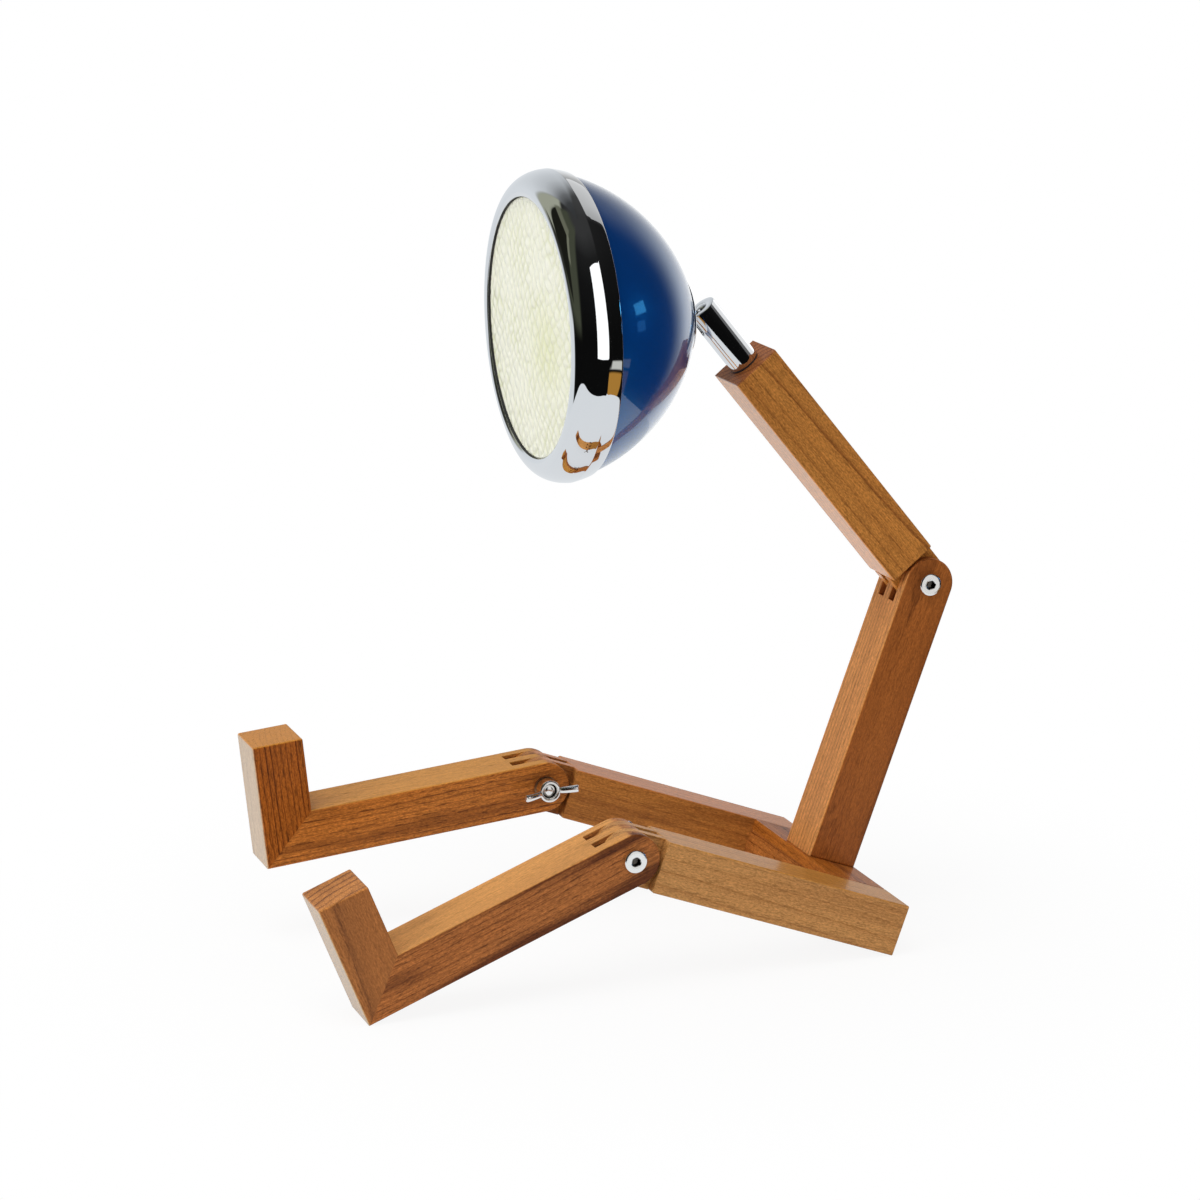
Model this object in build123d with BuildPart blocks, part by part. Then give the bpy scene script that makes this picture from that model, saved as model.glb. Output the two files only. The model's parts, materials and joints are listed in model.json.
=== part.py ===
from build123d import *
import os
from math import asin, atan2, cos, degrees, hypot, radians, sin, sqrt

os.makedirs("parts", exist_ok=True)

# A seated lamp built of wooden beams: a seat with two thighs, shins with upright feet, a torso and
# an arm that carries a round head on a ball joint. It is modelled as it sits, leaning back on the
# seat's rear edge and the left heel. The front is -Y, the lamp's left is +X and the table is Z = 0.
# The origin is the middle of the lamp's footprint.

# ---- beams: lengths are measured to the joint axes ----
beam_width = 25.0            # across the lamp, along X
beam_depth = 21.0            # in the side view
edge_ease = 0.8              # rounding of the long edges
leg_gap = 83.0               # between the thighs
thigh_reach = 120.0          # seat's rear face to knee axis
shin_reach = 120.0           # knee axis to sole
foot_height = 51.5           # heel to toe
block_depth = 24.5           # cross block between the thighs, rear face to front face
torso_inset = 1.0            # torso's rear face in from the seat's rear face
torso_reach = 121.0          # seat top to shoulder axis
arm_reach = 121.0            # shoulder axis to the arm's top end

# ---- how it sits ----
left_bend = 42.0             # shin below the line of its thigh
right_bend = 26.0
arm_lean = 59.3              # arm forward of the torso's direction

# ---- finger joints ----
tongue_count = 2             # tongues between the other beam's fingers
finger_gap = 0.1             # between a tongue and each side of its slot
tongue_clearance = 1.0       # round tongue end to the other beam's shoulder

# ---- knee and shoulder hardware ----
bolt_radius = 2.5
bolt_clearance = 0.08        # around the bolt, in the wood and in the wing nut
bolt_head_radius = 4.65
bolt_head_height = 1.8
bolt_head_bevel = 0.7
hex_flats = 3.0              # socket across flats
hex_depth = 1.4
bolt_tip = 0.6               # bolt's end past the wing nut
washer_radius = 5.0
washer_thickness = 1.0
nut_gap = 0.05               # wing nut off its washer
nut_base_radius = 4.4
nut_taper = 4.0              # degrees
nut_height = 6.0
wing_span = 23.5
wing_height = 10.5
wing_thickness = 1.9
wing_root_radius = 1.6
wing_tip_radius = 2.7

# ---- dowels, screws and the lead's way through the wood ----
glue_gap = 0.02              # around dowels and bushes that are glued or pressed in
dowel_radius = 4.0
dowel_length = 26.0
dowel_pitch = 11.0
dowel_end_room = 0.5
foot_dowel_radius = 2.5
foot_dowel_length = 12.0
foot_dowel_pitch = 11.0
screw_radius = 2.0
screw_head_radius = 4.0
screw_head_height = 2.4
screw_length = 50.0
screw_pitch = 14.0
screw_sink = 0.6             # screw heads below the wood
lead_radius = 2.25           # channel for the lead
lead_well_radius = 7.0       # pocket round the shoulder bolt in the middle tongue
outlet_radius = 2.6          # hole in the grommet
grommet_radius = 5.0
grommet_length = 10.0
grommet_flange_radius = 6.5
grommet_flange_thickness = 1.5

# ---- neck ----
post_radius = 6.25
post_reach = 30.0            # arm's end to the post's end
post_bevel = 0.5
neck_gap = 0.05              # washer off the arm's end
neck_washer_thickness = 0.5
ball_radius = 4.75
ball_clearance = 0.05
ball_depth = 4.0             # ball's centre below the post's end
slot_width = 5.0
slot_depth = 9.8             # from the post's end
pad_drop = 2.5               # pad's rim below the ball's centre
pad_length = 8.5
spring_count = 4
spring_thickness = 0.5
spring_rise = 0.3
spring_gap = 0.02
spigot_radius = 4.0
spigot_clearance = 0.05
spigot_length = 20.0         # below the arm's end
bush_radius = 6.0
bush_length = 16.5
clip_thickness = 0.8
clip_radius = 5.6
clip_groove_depth = 0.5
clip_opening = 4.0           # mouth that lets the clip slide into its groove
clip_gap = 0.1

# ---- head: reaches are measured forward from the ball's centre along the head's axis ----
stud_radius = 2.25
stud_wire_radius = 1.25
stud_thread_radius = 3.0
stud_flange_radius = 5.0
stud_flange_thickness = 1.0
plate_reach = 9.35           # rear face of the rear plate
plate_radius = 17.7
plate_thickness = 1.5
plate_edge = 0.6
shell_wall = 1.2
shell_flat_radius = 16.0
shell_bulge = 70.4           # radius of the bowl's side-view arc
shell_rim_radius = 59.0      # where the bowl goes under the bezel
shell_bead_radius = 59.6
shell_bead_width = 1.6
shell_skirt = 5.2            # from the bezel's rear edge to the shell's front edge
bezel_rear_reach = 56.3
bezel_crease_reach = 63.0
bezel_front_reach = 74.8
bezel_wall = 0.8
bezel_rear_radius = 59.9
bezel_crease_radius = 61.4
bezel_front_radius = 53.2
bezel_lip_radius = 51.1      # opening that the lens shows through
bezel_lip_drop = 0.7
gasket_thickness = 0.7
gasket_width = 2.5
lens_edge_thickness = 2.5
lens_crown = 1.6
reflector_wall = 0.8
reflector_depth = 40.0
reflector_mouth_radius = 49.5
reflector_neck_radius = 12.0
reflector_bulge = 66.0
clip_count = 3
clip_angle = 12.0            # degrees of the ring that each bezel clip takes
clip_strip = 0.6
clip_leg = 4.6

# ---- lamp inside the head ----
bracket_thickness = 1.0
bracket_width = 8.0
bracket_reach = 30.0
nut_flats = 10.0
nut_thickness = 5.0
stud_washer_radius = 6.0
stud_washer_thickness = 1.0
thread_end = 1.0             # stud's end past its nut
holder_radius = 9.8
holder_reach = 22.5
holder_length = 18.0
holder_screw_radius = 1.5
holder_screw_head_radius = 2.75
holder_screw_head_height = 1.6
holder_screw_length = 6.0
bulb_base_radius = 8.0
bulb_base_length = 9.0
bulb_base_gap = 0.3
bulb_radius = 7.2
bulb_length = 17.0
bulb_tip_radius = 0.7        # flat left at the dome's tip
pin_radius = 0.8
pin_pitch = 9.0
pin_length = 8.0
pin_clearance = 0.1

# ---- derived values ----
quarter_turn = 90.0
half_width = beam_width / 2
half_depth = beam_depth / 2
layer = beam_width / (2 * tongue_count + 1)
shoulder_setback = half_depth + tongue_clearance
bolt_hole_radius = bolt_radius + bolt_clearance
leg_x = (leg_gap + beam_width) / 2
grip = beam_width + washer_thickness + nut_gap + nut_height + bolt_tip


def heel(bend):
    # Heel corner in the seat's frame: how far forward and how far up.
    turn = radians(bend)
    forward = thigh_reach + shin_reach * cos(turn) - half_depth * sin(turn)
    return forward, half_depth - shin_reach * sin(turn) - half_depth * cos(turn)


def toe(bend):
    turn = radians(bend)
    forward, up = heel(bend)
    return forward + foot_height * sin(turn), up + foot_height * cos(turn)


# The seat leans back until the left heel touches the table.
heel_forward, heel_up = heel(left_bend)
seat_tilt = degrees(atan2(-heel_up, heel_forward))


def level(forward, up):
    # From the seat's frame to distance forward and height above the table.
    tilt = radians(seat_tilt)
    return forward * cos(tilt) - up * sin(tilt), forward * sin(tilt) + up * cos(tilt)


shoulder_at = level(torso_inset + half_depth, beam_depth + torso_reach)
arm_pitch = seat_tilt + quarter_turn - arm_lean
arm_way = Vector(0, -cos(radians(arm_pitch)), sin(radians(arm_pitch)))
ball_along = arm_reach + post_reach - ball_depth
head_forward = shoulder_at[0] - arm_way.Y * ball_along + bezel_front_reach
front_reach = max(level(*toe(left_bend))[0], level(*toe(right_bend))[0], head_forward)
rear_reach = half_depth - shoulder_at[0]
seat_y = (front_reach - rear_reach) / 2


def place(forward, up, x=0.0):
    # From the seat's frame to a point of the whole lamp.
    out, height = level(forward, up)
    return Vector(x, seat_y - out, height)


def side_view(point, pitch):
    # Side-view plane at a point: local X runs along a beam that rises by pitch towards the front.
    turn = radians(pitch)
    return Plane(origin=point, x_dir=(0, -cos(turn), sin(turn)), z_dir=(-1, 0, 0))


def moved(plane, x=0.0, along=0.0, across=0.0):
    origin = plane.origin + Vector(x, 0, 0) + plane.x_dir * along + plane.y_dir * across
    return Plane(origin=origin, x_dir=plane.x_dir, z_dir=plane.z_dir)


def cross_view(plane):
    # Plane square to a beam, looking along it, with local X along the lamp's width.
    return Plane(origin=plane.origin, x_dir=(1, 0, 0), z_dir=plane.x_dir)


def finish(part, name, colour):
    part.label = name
    part.color = Color(*colour)
    export_step(part, f"parts/{name}.step")


wood = (0.62, 0.38, 0.20)
steel = (0.75, 0.76, 0.78)
chrome = (0.80, 0.82, 0.84)
rubber = (0.08, 0.08, 0.08)

# ---- joint planes: each starts at a joint axis and runs into its beam ----
seat = side_view(place(0, 0), seat_tilt)
knee = place(thigh_reach, half_depth)
shoulder = place(torso_inset + half_depth, beam_depth + torso_reach)
thigh_plane = side_view(knee, seat_tilt + 180)
torso_plane = side_view(shoulder, seat_tilt - quarter_turn)
arm_plane = side_view(shoulder, arm_pitch)


# ---- beam features, used inside a BuildPart block ----
def add_bar(plane, start, end, low=-half_depth, high=half_depth):
    with BuildSketch(plane) as outline:
        with Locations(((start + end) / 2, (low + high) / 2)):
            Rectangle(end - start, high - low)
    extrude(outline.sketch, amount=half_width, both=True)


def add_round_bar(plane, end):
    # Beam whose start is rounded about the joint axis.
    with BuildSketch(plane) as outline:
        Circle(half_depth)
        with Locations((end / 2, 0)):
            Rectangle(end, beam_depth)
    extrude(outline.sketch, amount=half_width, both=True)


def ease_outline(builder, more=()):
    faces = builder.edges().group_by(Axis.X)
    fillet([*faces[0], *faces[-1], *more], edge_ease)


def shoulder_corners(builder, plane):
    # Edges across a beam's front and back at its shoulder, before the tongues are on.
    face = builder.faces().sort_by(Axis(plane.origin, plane.x_dir))[0]
    return face.edges().filter_by(Axis.X)


def tongue_spots():
    for number in range(tongue_count):
        yield (2 * number + 1 - tongue_count) * layer


def add_tongues(plane):
    for x in tongue_spots():
        with BuildSketch(moved(plane, x)) as tongue:
            Circle(half_depth)
            with Locations((shoulder_setback / 2, 0)):
                Rectangle(shoulder_setback, beam_depth)
        extrude(tongue.sketch, amount=layer / 2 - finger_gap, both=True)


def cut_slots(plane):
    for x in tongue_spots():
        with BuildSketch(moved(plane, x)) as slot:
            with Locations(((shoulder_setback - beam_depth) / 2, 0)):
                Rectangle(shoulder_setback + beam_depth, 2 * beam_depth)
        extrude(slot.sketch, amount=layer / 2, both=True, mode=Mode.SUBTRACT)


def bore_bolt(plane):
    with BuildSketch(plane) as hole:
        Circle(bolt_hole_radius)
    extrude(hole.sketch, amount=beam_width, both=True, mode=Mode.SUBTRACT)


def bore(plane, radius, start, end):
    with BuildSketch(plane.offset(start)) as hole:
        Circle(radius)
    extrude(hole.sketch, amount=end - start, mode=Mode.SUBTRACT)


# ---- seat: two thighs on a cross block ----
def dowel_places():
    for along in (-dowel_pitch / 2, dowel_pitch / 2):
        yield block_depth / 2 + along, half_depth


def cut_dowels(x):
    # Holes for the dowels that cross the joint between a thigh and the block.
    reach = dowel_length / 2 + dowel_end_room
    with BuildSketch(moved(seat, x)) as holes:
        with Locations(*dowel_places()):
            Circle(dowel_radius + glue_gap)
    extrude(holes.sketch, amount=reach, both=True, mode=Mode.SUBTRACT)


def make_thigh(side):
    plane = moved(thigh_plane, side * leg_x)
    with BuildPart() as thigh:
        add_bar(plane, shoulder_setback, thigh_reach)
        long_edges = thigh.edges().filter_by(Axis(plane.origin, plane.x_dir))
        fillet([*long_edges, *shoulder_corners(thigh, plane)], edge_ease)
        add_tongues(plane)
        bore_bolt(plane)
        cut_dowels(side * leg_gap / 2)
    return thigh.part


finish(make_thigh(1), "left_thigh", wood)
finish(make_thigh(-1), "right_thigh", wood)

torso_along = torso_inset + half_depth
torso_up = Plane(origin=place(torso_along, 0), x_dir=(1, 0, 0), z_dir=-torso_plane.x_dir)
outlet = Plane(origin=place(0, half_depth), x_dir=(1, 0, 0), z_dir=-seat.x_dir)
screw_spots = ((-screw_pitch / 2, 0), (screw_pitch / 2, 0))

with BuildPart() as seat_block:
    with BuildSketch(seat):
        with Locations((block_depth / 2, half_depth)):
            Rectangle(block_depth, beam_depth)
    extrude(amount=leg_gap / 2, both=True)
    for side in (-1, 1):
        cut_dowels(side * leg_gap / 2)
    with BuildSketch(torso_up):
        with Locations(*screw_spots):
            Circle(screw_head_radius + glue_gap)
    extrude(amount=screw_sink + screw_head_height, mode=Mode.SUBTRACT)
    with BuildSketch(torso_up):
        with Locations(*screw_spots):
            Circle(screw_radius + glue_gap)
    extrude(amount=beam_depth, mode=Mode.SUBTRACT)
    bore(torso_up, lead_radius, half_depth - lead_radius, beam_depth)
    bore(outlet, lead_radius, -torso_along - lead_radius, 0)
    bore(outlet, grommet_radius + glue_gap, -grommet_length, 0)
finish(seat_block.part, "seat_block", wood)

with BuildPart() as seat_dowels:
    for side in (-1, 1):
        with BuildSketch(moved(seat, side * leg_gap / 2)):
            with Locations(*dowel_places()):
                Circle(dowel_radius)
        extrude(amount=dowel_length / 2, both=True)
finish(seat_dowels.part, "seat_dowels", wood)

with BuildPart() as cord_grommet:
    with BuildSketch(outlet):
        Circle(grommet_flange_radius)
    extrude(amount=grommet_flange_thickness)
    fillet(cord_grommet.faces().sort_by(Axis(outlet.origin, outlet.z_dir))[-1].edges(), edge_ease)
    with BuildSketch(outlet):
        Circle(grommet_radius)
    extrude(amount=-grommet_length)
    with BuildSketch(outlet):
        Circle(outlet_radius)
    extrude(amount=grommet_length + grommet_flange_thickness, both=True, mode=Mode.SUBTRACT)
finish(cord_grommet.part, "cord_grommet", rubber)

# ---- torso ----
torso_foot = torso_up.offset(beam_depth)

with BuildPart() as torso:
    add_round_bar(torso_plane, torso_reach)
    ease_outline(torso)
    cut_slots(torso_plane)
    bore_bolt(torso_plane)
    with BuildSketch(torso_foot):
        with Locations(*screw_spots):
            Circle(screw_radius + glue_gap)
    extrude(amount=screw_length - beam_depth + dowel_end_room, mode=Mode.SUBTRACT)
    bore(torso_foot, lead_radius, 0, torso_reach)
    with BuildSketch(torso_plane):
        Circle(lead_well_radius)
    extrude(amount=layer / 2, both=True, mode=Mode.SUBTRACT)
finish(torso.part, "torso", wood)

with BuildPart() as torso_screws:
    with BuildSketch(torso_up.offset(screw_sink)):
        with Locations(*screw_spots):
            Circle(screw_head_radius)
    extrude(amount=screw_head_height)
    with BuildSketch(torso_up.offset(screw_sink)):
        with Locations(*screw_spots):
            Circle(screw_radius)
    extrude(amount=screw_length - screw_sink)
    with BuildSketch(torso_up.offset(screw_sink)):
        with Locations(*screw_spots):
            RegularPolygon(hex_flats / 2, 6, major_radius=False)
    extrude(amount=hex_depth, mode=Mode.SUBTRACT)
finish(torso_screws.part, "torso_screws", steel)


# ---- legs ----
def mitre_plane(plane):
    # The mitre runs from the heel to the inside corner; its dowels stand square to it.
    middle = moved(plane, along=shin_reach - half_depth)
    return Plane(origin=middle.origin, x_dir=(1, 0, 0), z_dir=plane.x_dir + plane.y_dir)


def cut_mitre(plane, keep):
    split(bisect_by=mitre_plane(plane), keep=keep)


def foot_dowel_spots():
    return ((-foot_dowel_pitch / 2, 0), (foot_dowel_pitch / 2, 0))


def cut_foot_dowels(plane):
    with BuildSketch(mitre_plane(plane)) as holes:
        with Locations(*foot_dowel_spots()):
            Circle(foot_dowel_radius + glue_gap)
    reach = foot_dowel_length / 2 + dowel_end_room
    extrude(holes.sketch, amount=reach, both=True, mode=Mode.SUBTRACT)


def make_shin(plane):
    with BuildPart() as shin:
        add_round_bar(plane, shin_reach)
        ease_outline(shin)
        cut_slots(plane)
        bore_bolt(plane)
        cut_mitre(plane, Keep.BOTTOM)
        cut_foot_dowels(plane)
    return shin.part


def make_foot(plane):
    with BuildPart() as foot:
        add_bar(plane, shin_reach - beam_depth, shin_reach, -half_depth, foot_height - half_depth)
        top = foot.faces().sort_by(Axis(plane.origin, plane.y_dir))[-1]
        ease_outline(foot, top.edges().filter_by(Axis.X))
        cut_mitre(plane, Keep.TOP)
        cut_foot_dowels(plane)
    return foot.part


def make_foot_dowels(plane):
    with BuildPart() as dowels:
        with BuildSketch(mitre_plane(plane)):
            with Locations(*foot_dowel_spots()):
                Circle(foot_dowel_radius)
        extrude(amount=foot_dowel_length / 2, both=True)
    return dowels.part


# ---- joint hardware ----
def facing(point, x, side, along):
    # Plane on a side face at a joint axis, facing outwards.
    return Plane(origin=(x, point.Y, point.Z), x_dir=along, z_dir=(side, 0, 0))


def make_bolt(plane):
    with BuildPart() as bolt:
        with BuildSketch(plane):
            Circle(bolt_head_radius)
        extrude(amount=bolt_head_height)
        chamfer(bolt.faces().sort_by(Axis(plane.origin, plane.z_dir))[-1].edges(), bolt_head_bevel)
        with BuildSketch(plane.offset(bolt_head_height)):
            RegularPolygon(hex_flats / 2, 6, major_radius=False)
        extrude(amount=-hex_depth, mode=Mode.SUBTRACT)
        with BuildSketch(plane):
            Circle(bolt_radius)
        extrude(amount=-grip)
        end = bolt.faces().sort_by(Axis(plane.origin, plane.z_dir))[0]
        chamfer(end.edges(), bolt_tip / 2)
    return bolt.part


def make_washer(plane):
    with BuildPart() as washer:
        with BuildSketch(plane):
            Circle(washer_radius)
            Circle(bolt_hole_radius, mode=Mode.SUBTRACT)
        extrude(amount=washer_thickness)
    return washer.part


def make_wing_nut(plane):
    base = plane.offset(washer_thickness + nut_gap)
    tip = wing_span / 2 - wing_tip_radius
    with BuildPart() as nut:
        with BuildSketch(base):
            Circle(nut_base_radius)
        extrude(amount=nut_height, taper=nut_taper)
        for side in (-1, 1):
            ear = Plane(origin=base.origin, x_dir=base.x_dir * side, z_dir=base.y_dir * -side)
            with BuildSketch(ear):
                with Locations((nut_base_radius - wing_root_radius, 2 * wing_root_radius)):
                    Circle(wing_root_radius)
                with Locations((tip, wing_height - wing_tip_radius)):
                    Circle(wing_tip_radius)
                make_hull()
            extrude(amount=wing_thickness / 2, both=True)
        bore(base, bolt_hole_radius, -nut_gap, wing_height)
    return nut.part


def make_joint_hardware(name, point, head_x, side, along):
    nut_plane = facing(point, head_x - side * beam_width, -side, along)
    finish(make_bolt(facing(point, head_x, side, along)), f"{name}_bolt", steel)
    finish(make_washer(nut_plane), f"{name}_washer", steel)
    finish(make_wing_nut(nut_plane), f"{name}_wing_nut", steel)


for name, side, bend in (("left", 1, left_bend), ("right", -1, right_bend)):
    shin_plane = moved(side_view(knee, seat_tilt - bend), side * leg_x)
    finish(make_shin(shin_plane), f"{name}_shin", wood)
    finish(make_foot(shin_plane), f"{name}_foot", wood)
    finish(make_foot_dowels(shin_plane), f"{name}_foot_dowels", wood)
    outer_face = side * (leg_x + half_width)
    make_joint_hardware(f"{name}_knee", knee, outer_face, side, shin_plane.x_dir)

make_joint_hardware("shoulder", shoulder, half_width, 1, torso_plane.x_dir)

# ---- arm ----
arm_end = moved(arm_plane, along=arm_reach)
neck = cross_view(arm_end)

with BuildPart() as arm:
    add_bar(arm_plane, shoulder_setback, arm_reach)
    ease_outline(arm, shoulder_corners(arm, arm_plane))
    add_tongues(arm_plane)
    bore_bolt(arm_plane)
    bore(neck, bush_radius + glue_gap, -spigot_length - dowel_end_room, 0)
    bore(neck, lead_radius, shoulder_setback - arm_reach - layer, -spigot_length)
finish(arm.part, "arm", wood)

# ---- neck: a slotted post that turns in a bush and holds the head's ball ----
neck_side = Plane(origin=neck.origin, x_dir=(1, 0, 0), z_dir=-neck.y_dir)
ball = neck.offset(post_reach - ball_depth)
socket_radius = ball_radius + ball_clearance
spring_step = spring_thickness + spring_rise + spring_gap
pad_low = post_reach - ball_depth - pad_drop - pad_length
spigot_high = pad_low - spring_count * spring_step - spring_gap
groove_low = -bush_length - clip_gap - clip_thickness
post_low = neck_gap + neck_washer_thickness

with BuildPart() as neck_bush:
    with BuildSketch(neck):
        Circle(bush_radius)
        Circle(spigot_radius + spigot_clearance, mode=Mode.SUBTRACT)
    extrude(amount=-bush_length)
finish(neck_bush.part, "neck_bush", (0.75, 0.60, 0.30))

with BuildPart() as neck_washer:
    with BuildSketch(neck.offset(neck_gap)):
        Circle(post_radius)
        Circle(spigot_radius + spigot_clearance, mode=Mode.SUBTRACT)
    extrude(amount=neck_washer_thickness)
finish(neck_washer.part, "neck_washer", rubber)

with BuildPart() as neck_post:
    with BuildSketch(neck.offset(post_low)):
        Circle(post_radius)
    extrude(amount=post_reach - post_low)
    end = neck_post.faces().sort_by(Axis(neck.origin, neck.z_dir))[-1]
    fillet(end.edges(), post_bevel)
    bore(neck, socket_radius, post_low, post_reach - ball_depth)
    with Locations(ball.location):
        Sphere(socket_radius, mode=Mode.SUBTRACT)
    with BuildSketch(neck_side):
        with Locations((0, post_reach)):
            SlotOverall(2 * slot_depth, slot_width, rotation=quarter_turn)
    extrude(amount=2 * post_radius, mode=Mode.SUBTRACT)
finish(neck_post.part, "neck_post", chrome)

with BuildPart() as ball_pad:
    with BuildSketch(neck.offset(pad_low)):
        Circle(ball_radius)
        Circle(lead_radius, mode=Mode.SUBTRACT)
    extrude(amount=pad_length)
    with Locations(ball.location):
        Sphere(socket_radius, mode=Mode.SUBTRACT)
finish(ball_pad.part, "ball_pad", (0.9, 0.9, 0.88))

# Spring washers are cones, stacked with every second one turned over.
with BuildPart() as spring_washers:
    for step in range(spring_count):
        low = spigot_high + spring_gap + step * spring_step
        inner_rise = spring_rise * (step % 2)
        outer_rise = spring_rise - inner_rise
        with BuildSketch(neck_side):
            Polygon(
                (lead_radius, low + inner_rise),
                (ball_radius, low + outer_rise),
                (ball_radius, low + outer_rise + spring_thickness),
                (lead_radius, low + inner_rise + spring_thickness),
                align=None,
            )
        revolve(axis=Axis(neck.origin, neck.z_dir))
finish(spring_washers.part, "spring_washers", steel)

with BuildPart() as neck_spigot:
    with BuildSketch(neck.offset(post_low)):
        Circle(ball_radius)
    extrude(amount=spigot_high - post_low)
    with BuildSketch(neck.offset(post_low)):
        Circle(spigot_radius)
    extrude(amount=-post_low - spigot_length)
    with BuildSketch(neck.offset(groove_low)):
        Circle(spigot_radius)
        Circle(spigot_radius - clip_groove_depth, mode=Mode.SUBTRACT)
    extrude(amount=clip_thickness, mode=Mode.SUBTRACT)
    bore(neck, lead_radius, -spigot_length, spigot_high)
finish(neck_spigot.part, "neck_spigot", steel)

with BuildPart() as neck_clip:
    with BuildSketch(neck.offset(groove_low + spring_gap)):
        Circle(clip_radius)
        Circle(spigot_radius - clip_groove_depth + spring_gap, mode=Mode.SUBTRACT)
        with Locations((0, -clip_radius)):
            Rectangle(clip_opening, 2 * clip_radius, mode=Mode.SUBTRACT)
    extrude(amount=clip_thickness - 2 * spring_gap)
finish(neck_clip.part, "neck_clip", steel)

# ---- head: everything is turned about a level axis through the ball ----
head_way = Vector(0, -1, 0)
head_axis = Axis(ball.origin, head_way)
profile = Plane(origin=ball.origin, x_dir=(1, 0, 0), z_dir=(0, 0, -1))
rear_view = Plane(origin=ball.origin, x_dir=(1, 0, 0), z_dir=head_way)


def reach(distance):
    return rear_view.offset(distance)


def ring(outer, inner, start, end):
    with BuildSketch(reach(start)) as section:
        Circle(outer)
        Circle(inner, mode=Mode.SUBTRACT)
    extrude(section.sketch, amount=end - start)


shell_rear = plate_reach + plate_thickness
stud_hole_radius = stud_thread_radius + glue_gap
shell_inside = shell_rear + shell_wall
washer_reach = shell_inside + bracket_thickness
nut_reach = washer_reach + stud_washer_thickness
stud_end = nut_reach + nut_thickness + thread_end
flange_reach = plate_reach - stud_flange_thickness

with BuildPart() as ball_stud:
    with Locations(rear_view.location):
        Sphere(ball_radius)
    with BuildSketch(rear_view):
        Circle(stud_radius)
    extrude(amount=plate_reach)
    with BuildSketch(reach(flange_reach)):
        Circle(stud_flange_radius)
    extrude(amount=stud_flange_thickness)
    with BuildSketch(reach(plate_reach)):
        Circle(stud_thread_radius)
    extrude(amount=stud_end - plate_reach)
    bore(rear_view, stud_wire_radius, -ball_radius, stud_end)
finish(ball_stud.part, "ball_stud", chrome)

with BuildPart() as rear_plate:
    with BuildSketch(reach(plate_reach)):
        Circle(plate_radius)
    extrude(amount=plate_thickness)
    fillet(rear_plate.edges(), plate_edge)
    bore(rear_view, stud_hole_radius, 0, stud_end)
finish(rear_plate.part, "rear_plate", chrome)


def bowl_centre(rim, base, radius):
    # Centre of the arc from rim to base that bulges away from the axis.
    across, down = rim[0] - base[0], rim[1] - base[1]
    chord = hypot(across, down)
    rise = sqrt(radius**2 - chord**2 / 4) / chord
    return (rim[0] + base[0]) / 2 - rise * down, (rim[1] + base[1]) / 2 + rise * across


def radius_at(centre, radius, distance):
    return centre[0] + sqrt(radius**2 - (distance - centre[1]) ** 2)


def arc_angle(centre, point):
    return degrees(atan2(point[1] - centre[1], point[0] - centre[0]))


def bowl_arc(centre, radius, start, end):
    first = arc_angle(centre, start)
    return CenterArc(centre, radius, first, arc_angle(centre, end) - first)


skirt_end = bezel_rear_reach + shell_skirt
shell_outer = ((shell_rim_radius, bezel_rear_reach), (shell_flat_radius, shell_rear))
shell_centre = bowl_centre(*shell_outer, shell_bulge)
inner_bulge = shell_bulge - shell_wall
shell_inner = tuple(
    (radius_at(shell_centre, inner_bulge, distance), distance)
    for distance in (bezel_rear_reach, shell_inside)
)

with BuildPart() as shell:
    with BuildSketch(profile):
        with BuildLine():
            bowl_arc(shell_centre, shell_bulge, shell_outer[0], shell_outer[1])
            Polyline(
                shell_outer[1],
                (stud_hole_radius, shell_rear),
                (stud_hole_radius, shell_inside),
                shell_inner[1],
            )
            bowl_arc(shell_centre, inner_bulge, shell_inner[1], shell_inner[0])
            Polyline(
                shell_inner[0],
                (shell_inner[0][0], skirt_end),
                (shell_bead_radius, skirt_end),
                (shell_bead_radius, skirt_end - shell_bead_width),
                (shell_rim_radius, skirt_end - shell_bead_width),
                shell_outer[0],
            )
        make_face()
    revolve(axis=head_axis)
finish(shell.part, "shell", (0.05, 0.15, 0.45))

# Bezel: a rear band, a crease, and a round front that curls in to the lens.
lip_reach = bezel_front_reach - bezel_lip_drop
crown_radius = bezel_crease_radius - bezel_front_radius
crown_reach = bezel_front_reach - bezel_crease_reach
crown_centre = (bezel_front_radius, bezel_crease_reach)

with BuildPart() as bezel:
    with BuildSketch(profile):
        with BuildLine():
            Polyline(
                (bezel_rear_radius - bezel_wall, bezel_rear_reach),
                (bezel_rear_radius, bezel_rear_reach),
                (bezel_crease_radius, bezel_crease_reach),
            )
            EllipticalCenterArc(crown_centre, crown_radius, crown_reach, 0, arc_size=quarter_turn)
            Polyline(
                (bezel_front_radius, bezel_front_reach),
                (bezel_lip_radius, lip_reach),
                (bezel_lip_radius, lip_reach - bezel_wall),
                (bezel_front_radius, bezel_front_reach - bezel_wall),
            )
            EllipticalCenterArc(
                crown_centre,
                crown_radius - bezel_wall,
                crown_reach - bezel_wall,
                0,
                arc_size=quarter_turn,
            )
            Line(
                (bezel_crease_radius - bezel_wall, bezel_crease_reach),
                (bezel_rear_radius - bezel_wall, bezel_rear_reach),
            )
        make_face()
    revolve(axis=head_axis)
finish(bezel.part, "bezel", chrome)

# Gasket, lens and reflector lie behind the bezel's lip in that order.
gasket_reach = lip_reach - bezel_wall - gasket_thickness
lens_radius = bezel_lip_radius + gasket_width
lens_back = gasket_reach - lens_edge_thickness
lens_curve = (bezel_lip_radius**2 + lens_crown**2) / (2 * lens_crown)

with BuildPart() as lens_gasket:
    ring(lens_radius, bezel_lip_radius, gasket_reach, gasket_reach + gasket_thickness)
finish(lens_gasket.part, "lens_gasket", rubber)

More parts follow.
